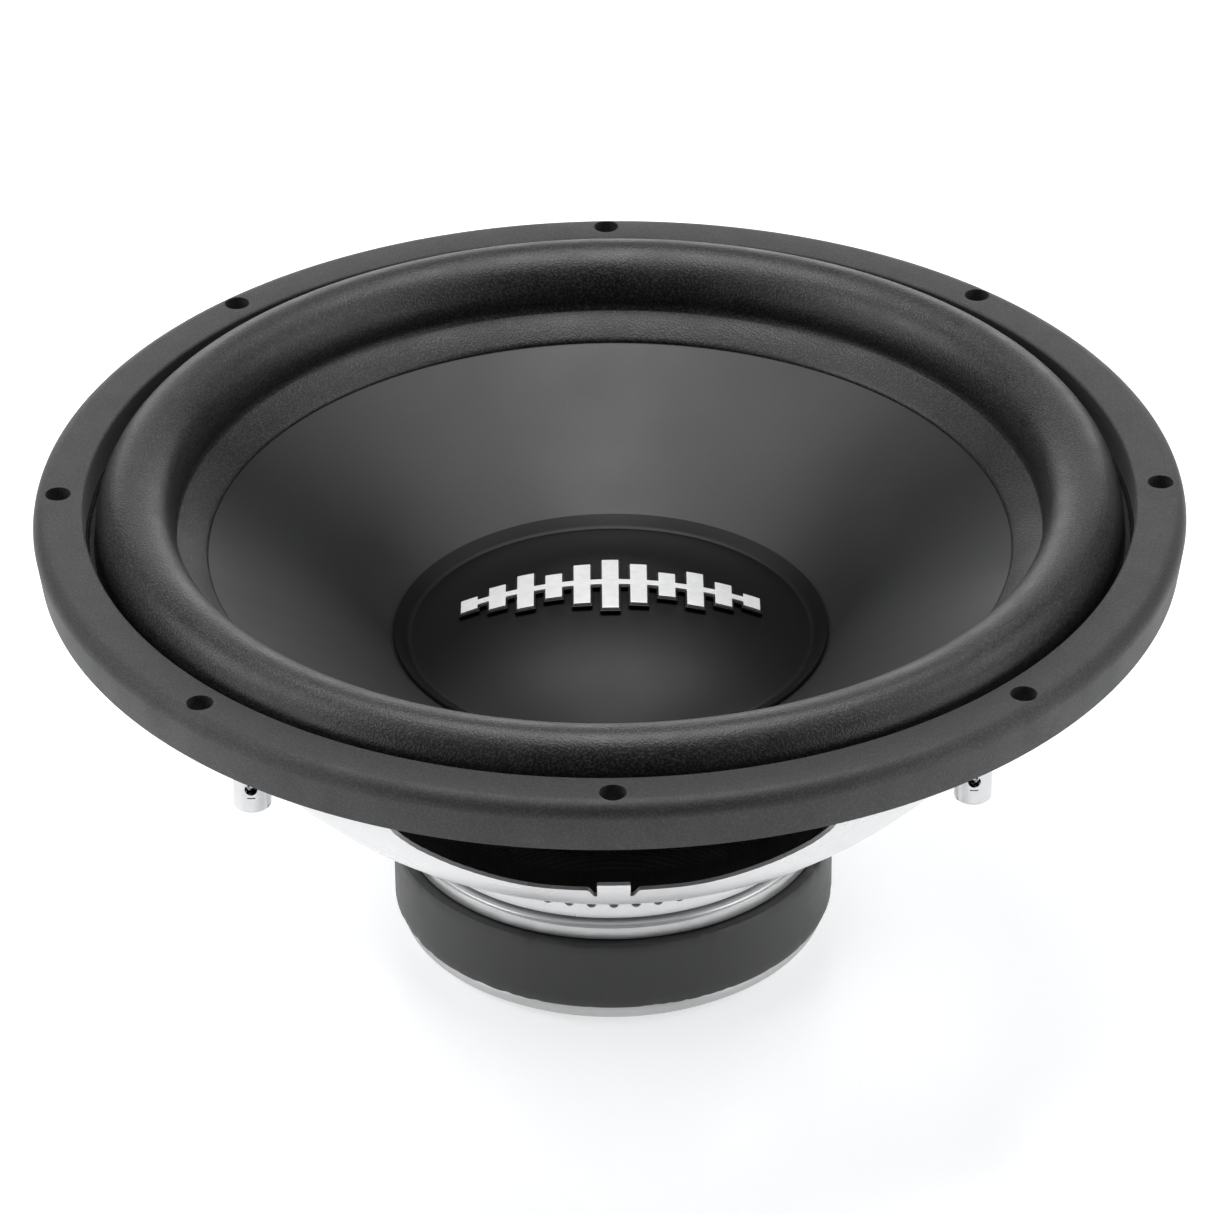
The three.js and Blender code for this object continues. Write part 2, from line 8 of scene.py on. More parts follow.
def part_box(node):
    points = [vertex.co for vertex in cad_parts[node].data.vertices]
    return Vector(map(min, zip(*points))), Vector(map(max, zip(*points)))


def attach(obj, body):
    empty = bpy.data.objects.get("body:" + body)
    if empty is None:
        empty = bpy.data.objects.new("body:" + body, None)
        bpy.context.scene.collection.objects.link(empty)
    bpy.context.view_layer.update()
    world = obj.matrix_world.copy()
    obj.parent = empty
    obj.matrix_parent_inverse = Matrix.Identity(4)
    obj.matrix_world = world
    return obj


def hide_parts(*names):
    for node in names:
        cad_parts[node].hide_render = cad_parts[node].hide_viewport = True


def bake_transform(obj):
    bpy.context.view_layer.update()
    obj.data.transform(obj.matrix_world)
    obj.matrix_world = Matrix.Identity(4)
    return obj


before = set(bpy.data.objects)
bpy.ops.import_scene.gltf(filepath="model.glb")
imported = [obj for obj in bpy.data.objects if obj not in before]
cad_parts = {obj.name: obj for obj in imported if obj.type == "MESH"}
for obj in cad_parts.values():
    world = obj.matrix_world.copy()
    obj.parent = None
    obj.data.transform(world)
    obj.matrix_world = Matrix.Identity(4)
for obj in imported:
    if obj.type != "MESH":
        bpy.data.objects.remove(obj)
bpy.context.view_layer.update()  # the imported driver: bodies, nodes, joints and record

# Lengths in the dictionaries below are millimetres and angles are degrees.
# Every piece is made round the driver's own axis, cone up, as the frame has it.
mm = 0.001
gap = 0.3  # left between pieces that touch
print("frame loaded with", len(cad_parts), "nodes")


def nodeSize(node):
    low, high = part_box(node)
    return high[0] / mm, low[2] / mm, high[2] / mm  # outer radius, foot and top of a round node


def deselectAll():
    active = bpy.context.view_layer.objects.active
    if active is not None and active.mode != "OBJECT":
        bpy.ops.object.mode_set(mode="OBJECT")
    bpy.ops.object.select_all(action="DESELECT")


def takeUp(piece):
    deselectAll()
    piece.select_set(True)
    bpy.context.view_layer.objects.active = piece


def openEdit(piece):
    takeUp(piece)
    bpy.ops.object.mode_set(mode="EDIT")
    bpy.ops.mesh.select_mode(type="VERT")


def closeEdit():
    bpy.ops.object.mode_set(mode="OBJECT")


def settle(piece):
    takeUp(piece)
    bpy.ops.object.transform_apply(location=True, rotation=True, scale=True)


def cleanUp(piece, distance=0.02):
    openEdit(piece)
    bpy.ops.mesh.select_all(action="SELECT")
    bpy.ops.mesh.remove_doubles(threshold=distance * mm)
    bpy.ops.mesh.normals_make_consistent(inside=False)
    closeEdit()


def smoothOff(piece, angle=35):
    takeUp(piece)
    bpy.ops.object.shade_smooth_by_angle(angle=math.radians(angle))


def modify(piece, kind, **settings):
    takeUp(piece)
    modifier = piece.modifiers.new(kind.title(), kind)
    for key, value in settings.items():
        setattr(modifier, key, value)
    bpy.ops.object.modifier_apply(modifier=modifier.name)


def cutAway(piece, cutter):
    modify(piece, "BOOLEAN", operation="DIFFERENCE", solver="EXACT", object=cutter)
    bpy.data.objects.remove(cutter, do_unlink=True)


def copyPiece(piece, name):
    twin = piece.copy()
    twin.data = piece.data.copy()
    twin.name = name
    bpy.context.collection.objects.link(twin)
    return twin


def joinPieces(pieces, name):
    takeUp(pieces[0])
    for piece in pieces:
        piece.select_set(True)
    bpy.ops.object.join()
    pieces[0].name = name
    return pieces[0]


def onCircle(radius, angle, height=0.0):
    turn = math.radians(angle)
    return Vector((radius * math.cos(turn), radius * math.sin(turn), height)) * mm


def arcPoints(centre, radius, start, end, steps):
    points = []
    for i in range(steps + 1):
        turn = math.radians(start + (end - start) * i / steps)
        points.append((centre[0] + radius * math.cos(turn), centre[1] + radius * math.sin(turn)))
    return points


def sheetOutline(face, thickness):
    # closed outline of a sheet, from the points of one face
    back = []
    for i, point in enumerate(face):
        before = Vector(face[max(i - 1, 0)])
        after = Vector(face[min(i + 1, len(face) - 1)])
        along = (after - before).normalized()
        back.append((point[0] - along.y * thickness, point[1] + along.x * thickness))
    return list(face) + back[::-1]


def turnedPiece(name, outline, sides=192, closed=True, smoothAngle=35):
    # a ring of edges is pulled along the outline, as on a lathe
    deselectAll()
    path = [(max(radius, 0.005), height) for radius, height in outline]
    if closed:
        path.append(path[0])
    bpy.ops.mesh.primitive_circle_add(
        vertices=sides, radius=path[0][0] * mm, location=(0, 0, path[0][1] * mm), fill_type="NOTHING")
    piece = bpy.context.object
    piece.name = name
    bpy.ops.object.mode_set(mode="EDIT")
    bpy.ops.mesh.select_all(action="SELECT")
    for here, there in zip(path, path[1:]):
        lift = (there[1] - here[1]) * mm
        widen = there[0] / here[0]
        bpy.ops.mesh.extrude_region_move(TRANSFORM_OT_translate={"value": (0, 0, lift)})
        bpy.ops.transform.resize(value=(widen, widen, 1))
    closeEdit()
    settle(piece)
    cleanUp(piece)
    smoothOff(piece, smoothAngle)
    return piece


def roundCutter(place, radius, length, axis="Z", sides=32):
    deselectAll()
    turns = {"Z": (0, 0, 0), "Y": (math.pi / 2, 0, 0), "X": (0, math.pi / 2, 0)}
    bpy.ops.mesh.primitive_cylinder_add(
        vertices=sides, radius=radius * mm, depth=length * mm, location=place, rotation=turns[axis])
    cutter = bpy.context.object
    settle(cutter)
    return cutter


def boxCutter(place, size):
    deselectAll()
    bpy.ops.mesh.primitive_cube_add(size=1, location=place, scale=[side * mm for side in size])
    cutter = bpy.context.object
    settle(cutter)
    return cutter


def shiftPiece(piece, offset):
    piece.location = offset
    settle(piece)


def turnPiece(piece, angle):
    piece.rotation_euler.z = math.radians(angle)
    settle(piece)


def setBody(piece, body, *nodes):
    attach(piece, body)
    if nodes:
        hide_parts(*nodes)


def dress(piece, material):
    piece.data.materials.clear()
    piece.data.materials.append(material)


def stretchRound(piece, node):
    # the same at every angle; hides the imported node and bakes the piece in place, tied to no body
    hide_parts(node)
    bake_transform(piece)


def setInputs(node, values):
    for name, value in values.items():
        node.inputs[name].default_value = value


def startMaterial(name, colour, roughness, metallic=0.0):
    material = bpy.data.materials.new(name)
    material.use_nodes = True
    shader = material.node_tree.nodes["Principled BSDF"]
    setInputs(shader, {"Base Color": (*colour, 1), "Roughness": roughness, "Metallic": metallic})
    return material, shader


def addNode(material, kind, **values):
    node = material.node_tree.nodes.new(kind)
    for key, value in values.items():
        setattr(node, key, value)
    return node


def link(material, output, target):
    material.node_tree.links.new(output, target)


def objectPoint(material):
    return addNode(material, "ShaderNodeTexCoord").outputs["Object"]


def noiseOn(material, point, scale, detail=3.0, roughness=0.5):
    noise = addNode(material, "ShaderNodeTexNoise")
    setInputs(noise, {"Scale": scale, "Detail": detail, "Roughness": roughness})
    link(material, point, noise.inputs["Vector"])
    return noise.outputs["Fac"]


def spread(material, value, low, high, fromLow=0.3, fromHigh=0.7):
    # maps a pattern's middle range onto low to high
    ranged = addNode(material, "ShaderNodeMapRange")
    setInputs(ranged, {"From Min": fromLow, "From Max": fromHigh, "To Min": low, "To Max": high})
    link(material, value, ranged.inputs["Value"])
    return ranged.outputs["Result"]


def combine(material, operation, first, second):
    both = addNode(material, "ShaderNodeMath", operation=operation)
    link(material, first, both.inputs[0])
    link(material, second, both.inputs[1])
    return both.outputs[0]


def blendColours(material, shader, value, dark, light):
    mix = addNode(material, "ShaderNodeMix", data_type="RGBA")
    link(material, value, mix.inputs[0])
    mix.inputs[6].default_value = (*dark, 1)
    mix.inputs[7].default_value = (*light, 1)
    link(material, mix.outputs[2], shader.inputs["Base Color"])


def raiseBumps(material, shader, heights):
    # heights: pairs of a pattern and its depth in millimetres, stacked as bumps
    normal = None
    for value, depth in heights:
        bump = addNode(material, "ShaderNodeBump")
        setInputs(bump, {"Strength": 1.0, "Distance": depth * mm})
        link(material, value, bump.inputs["Height"])
        if normal is not None:
            link(material, normal, bump.inputs["Normal"])
        normal = bump.outputs["Normal"]
    link(material, normal, shader.inputs["Normal"])


def aroundAxis(material):
    # a point made of distance from the axis and height, so a pattern on it runs in rings
    parts = addNode(material, "ShaderNodeSeparateXYZ")
    link(material, objectPoint(material), parts.inputs[0])
    flat = addNode(material, "ShaderNodeCombineXYZ")
    link(material, parts.outputs["X"], flat.inputs["X"])
    link(material, parts.outputs["Y"], flat.inputs["Y"])
    length = addNode(material, "ShaderNodeVectorMath", operation="LENGTH")
    link(material, flat.outputs[0], length.inputs[0])
    ringed = addNode(material, "ShaderNodeCombineXYZ")
    link(material, length.outputs["Value"], ringed.inputs["X"])
    link(material, parts.outputs["Z"], ringed.inputs["Y"])
    return ringed.outputs[0]


def grainyBlack(name, colour, lighter, roughness, grain, depth, gloss=0.5, sheen=0.0):
    material, shader = startMaterial(name, colour, roughness)
    setInputs(shader, {"Specular IOR Level": gloss, "Sheen Weight": sheen, "Sheen Roughness": 0.45})
    point = objectPoint(material)
    fine = noiseOn(material, point, grain, 1.0)
    coarse = noiseOn(material, point, grain * 0.05, 3.0)
    blendColours(material, shader, spread(material, fine, 0, 1, 0.46, 0.66), colour, lighter)
    link(material, spread(material, coarse, roughness - 0.04, roughness + 0.05), shader.inputs["Roughness"])
    raiseBumps(material, shader, [(fine, depth)])
    return material


def turnedMetal(name, dark, light, roughness, lineScale, depth):
    # metal with fine rings left by a lathe, and faint stains
    material, shader = startMaterial(name, light, roughness, 1.0)
    rings = noiseOn(material, aroundAxis(material), lineScale, 4.0, 0.7)
    stains = noiseOn(material, objectPoint(material), 60, 5.0, 0.6)
    mixed = combine(material, "MULTIPLY", spread(material, rings, 0.55, 1), spread(material, stains, 0.7, 1))
    blendColours(material, shader, mixed, dark, light)
    link(material, spread(material, rings, roughness - 0.08, roughness + 0.12), shader.inputs["Roughness"])
    raiseBumps(material, shader, [(rings, depth)])
    return material


def plainMetal(name, colour, roughness, wear=0.06):
    material, shader = startMaterial(name, colour, roughness, 1.0)
    smudge = noiseOn(material, objectPoint(material), 180, 4.0, 0.6)
    link(material, spread(material, smudge, max(roughness - wear, 0.02), roughness + wear),
         shader.inputs["Roughness"])
    dark = [channel * 0.86 for channel in colour]
    blendColours(material, shader, spread(material, smudge, 0, 1), dark, colour)
    return material


cameraView = {
    "lens": 182.8,  # millimetres, as the sensor's width is
    "sensorWidth": 36,
    "clipStart": 0.05,
    "clipEnd": 50,
    "distance": 1.6826,  # metres from the centre of the ring's face
    "elevation": 31.78,
    "roll": -0.63,
    "sideways": 0.000617,  # metres, as the next
    "upwards": 0.032508,
}


def makeCamera():
    data = bpy.data.cameras.new("productCamera")
    data.lens = cameraView["lens"]
    data.sensor_width = cameraView["sensorWidth"]
    data.clip_start = cameraView["clipStart"]
    data.clip_end = cameraView["clipEnd"]
    camera = bpy.data.objects.new("productCamera", data)
    bpy.context.collection.objects.link(camera)
    rise = math.radians(cameraView["elevation"])
    roll = math.radians(cameraView["roll"])
    forward = Vector((0, math.cos(rise), -math.sin(rise)))
    level = Vector((1, 0, 0))
    upright = Vector((0, math.sin(rise), math.cos(rise)))
    right = level * math.cos(roll) + upright * math.sin(roll)
    up = upright * math.cos(roll) - level * math.sin(roll)
    faceHeight = nodeSize("trim_ring")[2] * mm
    place = Vector((0, 0, faceHeight)) - forward * cameraView["distance"]
    place -= right * cameraView["sideways"] + up * cameraView["upwards"]
    turn = Matrix((right, up, -forward)).transposed()
    camera.matrix_world = Matrix.Translation(place) @ turn.to_4x4()
    bpy.context.scene.camera = camera


lighting = {  # size across and along, place in metres, power in watts
    "overhead": {"size": (0.5, 0.5), "place": (0, 0, 1.5), "power": 4.7},
    "overheadBack": {"size": (1.2, 0.4), "place": (0, 0.5, 1.45), "power": 11.2},
    "left": {"size": (0.8, 0.6), "place": (-1.1, 0, 1.0), "power": 7.2},
    "right": {"size": (0.8, 0.6), "place": (1.1, 0, 1.0), "power": 5.0},
    "leftLow": {"size": (0.8, 0.5), "place": (-1.2, -0.55, 0.3), "power": 3.8},
    "rightLow": {"size": (0.8, 0.5), "place": (1.2, -0.55, 0.3), "power": 4.2},
    "back": {"size": (1.6, 0.4), "place": (0, 1.25, 0.36), "power": 6.0},
}
backdrop = {  # lengths in metres
    "seen": 1.0,
    "cast": 0.0,
    "floorSize": 30.0,
    "floorDrop": 0.0002,
    "floorGlow": 0.47,
    "aimHeight": 0.09,
}


def makeLights():
    target = Vector((0, 0, backdrop["aimHeight"]))
    for name, settings in lighting.items():
        data = bpy.data.lights.new(name + "Softbox", "AREA")
        data.shape = "RECTANGLE"
        data.size, data.size_y = settings["size"]
        data.energy = settings["power"]
        lamp = bpy.data.objects.new(name + "Softbox", data)
        bpy.context.collection.objects.link(lamp)
        lamp.location = settings["place"]
        lamp.rotation_euler = (target - lamp.location).to_track_quat("-Z", "Y").to_euler()
        lamp.visible_camera = False


def makeWorld():
    world = bpy.data.worlds.new("studio")
    bpy.context.scene.world = world
    world.use_nodes = True
    nodes = world.node_tree.nodes
    background = nodes["Background"]
    rays = nodes.new("ShaderNodeLightPath")
    level = nodes.new("ShaderNodeMapRange")
    setInputs(level, {"To Min": backdrop["cast"], "To Max": backdrop["seen"]})
    world.node_tree.links.new(rays.outputs["Is Camera Ray"], level.inputs["Value"])
    world.node_tree.links.new(level.outputs["Result"], background.inputs["Strength"])
    background.inputs["Color"].default_value = (1, 1, 1, 1)


def makeFloor():
    deselectAll()
    side = backdrop["floorSize"]
    bpy.ops.mesh.primitive_plane_add(size=side, location=(0, 0, -backdrop["floorDrop"]))
    floor = bpy.context.object
    floor.name = "whiteFloor"
    material, shader = startMaterial("whiteAcrylic", (0.86, 0.87, 0.88), 0.22)
    setInputs(shader, {"Specular IOR Level": 0.35, "Emission Color": (1, 1, 1, 1)})
    setInputs(shader, {"Emission Strength": backdrop["floorGlow"]})
    floor.data.materials.append(material)


makeCamera()
makeLights()
makeWorld()
makeFloor()
bpy.context.scene.view_settings.view_transform = "Standard"
print("camera, floor and lights are up")


trimShape = {
    "inset": 0.01,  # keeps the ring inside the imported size
    "innerRadius": 143.3,
    "edgeRadius": 4.3,
    "footRadius": 155.9,
    "innerEdge": 0.9,
    "skirtWall": 1.1,
    "seatHeight": 123.9,  # underside over the flange
    "lipSeatHeight": 125.9,  # underside over the surround's lip
    "lipSeatRadius": 146.8,
    "holeCircle": 150.5,
    "holeRadius": 3.55,
    "holes": 8,
}


def makeTrimRing():
    shape = trimShape
    outer, foot, top = nodeSize("trim_ring")
    outer -= shape["inset"]
    edge = shape["edgeRadius"]
    inner = shape["innerRadius"]
    small = shape["innerEdge"]
    skirt = shape["footRadius"] - shape["skirtWall"]
    outline = [(skirt, foot), (shape["footRadius"], foot)]
    outline += arcPoints((outer - edge, top - edge), edge, 0, 90, 14)
    outline += arcPoints((inner + small, top - small), small, 90, 180, 5)
    outline += [
        (inner, shape["lipSeatHeight"] + gap),
        (shape["lipSeatRadius"], shape["lipSeatHeight"] + gap),
        (shape["lipSeatRadius"], shape["seatHeight"]),
        (skirt, shape["seatHeight"]),
    ]
    ring = turnedPiece("trimRing", outline, 256)
    drills = []
    for i in range(shape["holes"]):
        place = onCircle(shape["holeCircle"], i * 360 / shape["holes"], (foot + top) / 2)
        drills.append(roundCutter(place, shape["holeRadius"], 30, "Z", 48))
    cutAway(ring, joinPieces(drills, "holeDrills"))
    smoothOff(ring, 30)
    rubber = grainyBlack(
        "mouldedRubber", (0.007, 0.0071, 0.0074), (0.029, 0.0293, 0.03), 0.6,
        grain=1900, depth=0.05, gloss=0.7, sheen=0.12)
    dress(ring, rubber)
    setBody(ring, "frame", "trim_ring")


makeTrimRing()
print("trim ring done")


basketShape = {
    "steel": 1.3,
    "floorHole": 30.5,
    "windows": 4,
    "windowFoot": 75.2,
    "windowTop": 112.0,
    "windowHalf": 29.5,
    "footHalf": 10.0,
    "tabTop": 79.0,
    "tabHalf": 2.35,
    "notchFoot": 70.2,
    "notchEdge": 3.8,
    "vents": 60,
    "ventRadius": 1.4,
    "ventHeight": 38.9,
    "ventCut": (58.8, 9),  # the drill's distance from the axis, and its length
    "windowCut": (86.0, 150.0),  # the cutter's inner and outer radius
    "tagSlot": (14, 10.6, 2.2),
    "tagHeight": 120.0,
    "tagSlotRadius": 126,
    "postAngles": (-135, -45),
    "rivets": 4,
    "rivetCircle": 44.0,
    "firstRivet": 45,
}


def basketFace():
    # outer face of the sheet, from the floor's hole up to the flange's edge
    outer, foot, top = nodeSize("basket")
    flange = top - basketShape["steel"]
    face = [(basketShape["floorHole"], foot), (55.0, foot)]
    face += [(56.8, foot + 0.3), (57.9, foot + 1.1), (58.4, foot + 2.4), (58.6, foot + 4.2)]
    face += [(58.9, 40.2), (59.6, 44.0), (60.8, 48.5), (62.6, 52.6), (64.8, 55.3), (67.4, 56.3)]
    face += [(72.0, 56.3), (78.0, 56.3), (82.6, 56.3), (84.3, 56.6), (85.7, 57.3), (87.2, 58.4)]
    face += [(91.7, 61.9), (96.0, 65.6), (101.0, 70.5), (106.1, 76.0), (111.0, 82.0), (115.2, 87.6)]
    face += [(118.5, 92.8), (121.2, 98.4), (123.2, 104.0), (124.6, 109.0), (125.6, 114.0), (126.2, 118.0)]
    face += [(126.7, flange - 2.2), (127.7, flange - 0.8), (129.4, flange - 0.1), (132.0, flange)]
    face += [(142.0, flange), (outer, flange)]
    return face


def bezierPoint(points, share):
    weights = ((1 - share) ** 3, 3 * share * (1 - share) ** 2, 3 * share ** 2 * (1 - share), share ** 3)
    return tuple(sum(w * p[k] for w, p in zip(weights, points)) for k in (0, 1))


def windowEdge(withTab):
    # points of a window as angle and height: a flat foot that sweeps up into the spokes
    shape = basketShape
    half, foot, top, flat = shape["windowHalf"], shape["windowFoot"], shape["windowTop"], shape["footHalf"]
    tab, tabTop, notch, notchEdge = shape["tabHalf"], shape["tabTop"], shape["notchFoot"], shape["notchEdge"]
    if withTab:
        right = [(tab - 0.25, tabTop), (tab - 0.08, tabTop - 0.1), (tab, tabTop - 0.5)]
        right += [(tab + 0.1, notch + 0.4), (tab + 0.2, notch), (tab + 0.6, notch), (tab + 0.7, notch + 0.3)]
        right += [(notchEdge - 0.1, foot - 0.3), (notchEdge + 0.2, foot)]
    else:
        right = [(flat * i / 4, foot) for i in (1, 2, 3)]
    corner = [(flat, foot), (18, foot + 0.6), (half, 86), (half, 97)]
    right += [bezierPoint(corner, i / 16) for i in range(17)]
    right += [(half, top - 8)]
    upper = [(half, top - 6), (half, top - 2), (half - 1.5, top), (half - 4, top)]
    right += [bezierPoint(upper, i / 6) for i in range(7)]
    right += [(half - 10, top), (half - 19, top)]
    left = [(-angle, height) for angle, height in right[::-1]]
    foot = tabTop if withTab else foot
    return [(0, foot)] + right + [(0, top)] + left


def windowCutter(angle, withTab):
    edge = windowEdge(withTab)
    inner, outer = basketShape["windowCut"]
    deselectAll()
    bpy.ops.mesh.primitive_circle_add(vertices=len(edge), radius=1, fill_type="NGON")
    cutter = bpy.context.object
    for vertex, (turn, height) in zip(cutter.data.vertices, edge):
        vertex.co = onCircle(inner, angle + turn, height)
    openEdit(cutter)
    bpy.ops.mesh.select_all(action="SELECT")
    bpy.ops.mesh.extrude_region_move(TRANSFORM_OT_translate={"value": (0, 0, 0)})
    widen = outer / inner
    bpy.ops.transform.resize(value=(widen, widen, 1), center_override=(0, 0, 0))
    bpy.ops.mesh.select_all(action="SELECT")
    bpy.ops.mesh.normals_make_consistent(inside=False)
    closeEdit()
    return cutter


def ventDrills():
    shape = basketShape
    reach, length = shape["ventCut"]
    drills = []
    for i in range(shape["vents"]):
        place = (reach * mm, 0, shape["ventHeight"] * mm)
        drill = roundCutter(place, shape["ventRadius"], length, "X", 12)
        turnPiece(drill, i * 360 / shape["vents"])
        drills.append(drill)
    return joinPieces(drills, "ventDrills")


def makeBasket():
    shape = basketShape
    top = nodeSize("basket")[2]
    basket = turnedPiece("stampedBasket", sheetOutline(basketFace(), shape["steel"]), 256)
    for i in range(shape["windows"]):
        cutAway(basket, windowCutter(-90 + i * 360 / shape["windows"], i == 0))
    cutters = []
    for i in range(trimShape["holes"]):
        place = onCircle(trimShape["holeCircle"], i * 360 / trimShape["holes"], top)
        cutters.append(roundCutter(place, trimShape["holeRadius"], 8, "Z", 48))
    for angle in shape["postAngles"]:
        slotBox = boxCutter((shape["tagSlotRadius"] * mm, 0, shape["tagHeight"] * mm), shape["tagSlot"])
        turnPiece(slotBox, angle)
        cutters.append(slotBox)
    cutAway(basket, joinPieces(cutters, "basketCutters"))
    cutAway(basket, ventDrills())
    smoothOff(basket, 30)
    dress(basket, silverPaint())
    setBody(basket, "frame", "basket")


def silverPaint():
    # bright silver finish over pressed steel, with a faint metallic speckle
    material, shader = startMaterial("silverPaint", (0.7, 0.71, 0.72), 0.3, 0.5)
    point = objectPoint(material)
    flake = noiseOn(material, point, 4200, 1.0)
    wave = noiseOn(material, point, 34, 2.0)
    blendColours(material, shader, spread(material, flake, 0, 1), (0.76, 0.763, 0.767), (0.84, 0.843, 0.847))
    link(material, spread(material, wave, 0.24, 0.36), shader.inputs["Roughness"])
    raiseBumps(material, shader, [(flake, 0.006), (wave, 0.12)])
    return material


makeBasket()
print("basket done")


coneShape = {
    "rim": (117.5, 124.06),
    "slope": 0.577,
    "wall": 1.4,
    "neck": 26.2,
}
rollShape = {
    "centre": (130.6, 129.9),
    "radius": 11.94,
    "outerReach": 9.7,  # the roll's outer flank is steeper than its inner one
    "wall": 1.8,
    "lip": 1.7,
    "lipFoot": 123.9,
    # the bead on the lip: distance from the axis, and height over the lip
    "bead": ((143.2, 0), (143.0, 0.5), (142.6, 0.6), (142.3, 0.3), (142.1, 0)),
    "bandInner": 110.0,
    "bandOuter": 118.0,
    "bandUnder": 118.1,
    "bandWall": 0.9,
    "fixedRadius": 140.0,
    "movingRadius": 119.0,
}
capShape = {
    "radius": 60.2,
    "crease": 55.5,
    "wall": 0.8,
    "rise": 15.0,
}


def coneTop(radius):
    return coneShape["rim"][1] + (radius - coneShape["rim"][0]) * coneShape["slope"]


def steepened(points, middle, share):
    # draws the outer half of an arc in towards its middle
    return [(middle + (x - middle) * (share if x > middle else 1), z) for x, z in points]


def makeSurround():
    shape = rollShape
    cx, cz = shape["centre"]
    radius = shape["radius"]
    inner = radius - shape["wall"]
    lipTop = shape["lipFoot"] + shape["lip"]
    outerLip = nodeSize("surround")[0]
    bandIn = shape["bandInner"]
    reach = shape["outerReach"]
    outline = [(outerLip, shape["lipFoot"]), (outerLip, lipTop)]
    outline += [(distance, lipTop + lift) for distance, lift in shape["bead"]]
    outline += [(cx + reach + 0.6, lipTop), (cx + reach, lipTop + 0.8)]
    outline += steepened(arcPoints(shape["centre"], radius, 0, 190, 44), cx, reach / radius)
    joint = Vector(arcPoints(shape["centre"], radius, 190, 190, 1)[0])
    bandTop = Vector((shape["bandOuter"], coneTop(shape["bandOuter"]) + 1.35))
    for i in range(1, 5):  # the fillet where the roll runs into the flat band
        share = i / 4
        bend = Vector((cx - radius - 0.1, cz - 4.2))
        outline.append(tuple(joint.lerp(bend, share).lerp(bend.lerp(bandTop, share), share)))
    outline += [(bandIn + 0.9, coneTop(bandIn + 0.9) + gap + shape["bandWall"])]
    outline += [(bandIn + 0.25, coneTop(bandIn) + gap + shape["bandWall"] * 0.8)]
    outline += [(bandIn, coneTop(bandIn) + gap + shape["bandWall"] * 0.4), (bandIn, coneTop(bandIn) + 0.05)]
    outline += [(shape["bandUnder"], coneTop(shape["bandUnder"]) + gap)]
    outline += steepened(arcPoints(shape["centre"], inner, 198, 0, 30), cx, (reach - shape["wall"]) / inner)
    outline += [(cx + reach - shape["wall"], shape["lipFoot"])]
    surround = turnedPiece("foamSurround", outline, 256)
    foam = grainyBlack(
        "foamedRubber", (0.002, 0.002, 0.0021), (0.03, 0.0304, 0.031), 0.44,
        grain=1700, depth=0.1, gloss=0.6)
    dress(surround, foam)
    stretchRound(surround, "surround")


def satinPoly(name, colour, roughness, gloss):
    # smooth moulded skin: the faintest orange peel, and soft cloudy gloss
    material, shader = startMaterial(name, colour, roughness)
    point = objectPoint(material)
    cloud = noiseOn(material, point, 22, 3.0)
    peel = noiseOn(material, point, 900, 2.0)
    link(material, spread(material, cloud, roughness - 0.04, roughness + 0.05), shader.inputs["Roughness"])
    lighter = [channel * 1.25 for channel in colour]
    blendColours(material, shader, spread(material, peel, 0, 1), colour, lighter)
    raiseBumps(material, shader, [(peel, 0.012)])
    shader.inputs["Specular IOR Level"].default_value = gloss
    return material


def makeCone():
    shape = coneShape
    rim, neck = shape["rim"], shape["neck"]
    drop = shape["wall"] * math.hypot(1, shape["slope"])
    outline = [(neck, coneTop(neck) - drop)]
    outline += [(radius, coneTop(radius) - drop) for radius in range(30, 115, 6)]
    outline += [(rim[0] - 0.4, rim[1] - drop + 0.2), (rim[0], rim[1] - 0.8), (rim[0] - 0.3, rim[1] - 0.15)]
    outline += [(radius, coneTop(radius)) for radius in range(114, 29, -6)]
    outline += [(neck, coneTop(neck))]
    cone = turnedPiece("polyCone", outline, 256)
    dress(cone, satinPoly("conePoly", (0.011, 0.0112, 0.0116), 0.42, 0.53))
    setBody(cone, "cone_assembly", "cone")


def domeHeight(radius, offset=0.0):
    # height of the dome's outer face, or of a skin that stands off it
    crease, rise = capShape["crease"], capShape["rise"]
    foot = coneTop(crease) + gap + capShape["wall"]
    ball = (crease ** 2 + rise ** 2) / (2 * rise)
    return foot + rise - ball + math.sqrt((ball + offset) ** 2 - radius ** 2)


def makeDustCap():
    shape = capShape
    wall, crease, rim = shape["wall"], shape["crease"], shape["radius"]
    under = [(crease - step, domeHeight(crease - step) - wall) for step in (2.5, 8, 16, 26, 38, 48)]
    outline = [(0, domeHeight(0) - wall)] + under[::-1]
    outline += [(crease + 0.3, coneTop(crease + 0.3) + 0.25), (rim - 0.3, coneTop(rim) + 0.15)]
    outline += [(rim, coneTop(rim) + 0.5), (rim - 0.25, coneTop(rim) + 0.3 + wall)]
    outline += [(crease + 1.4, coneTop(crease + 1.4) + 0.3 + wall)]
    outline += [(crease + 0.5, coneTop(crease) + 0.45 + wall), (crease - 0.1, coneTop(crease) + 0.5 + wall)]
    outline += [(crease - 0.8, domeHeight(crease - 0.8) + 0.1)]
    steps = (1.8, 4, 8, 13, 19, 26, 33, 40, 47, 52)
    outline += [(crease - step, domeHeight(crease - step)) for step in steps]
    outline += [(0, domeHeight(0))]
    cap = turnedPiece("dustCap", outline, 256, closed=False, smoothAngle=50)
    dress(cap, satinPoly("capPoly", (0.003, 0.00305, 0.0032), 0.42, 0.25))
    setBody(cap, "cone_assembly", "dust_cap")


makeSurround()
makeCone()
makeDustCap()
print("surround, cone and dust cap done")


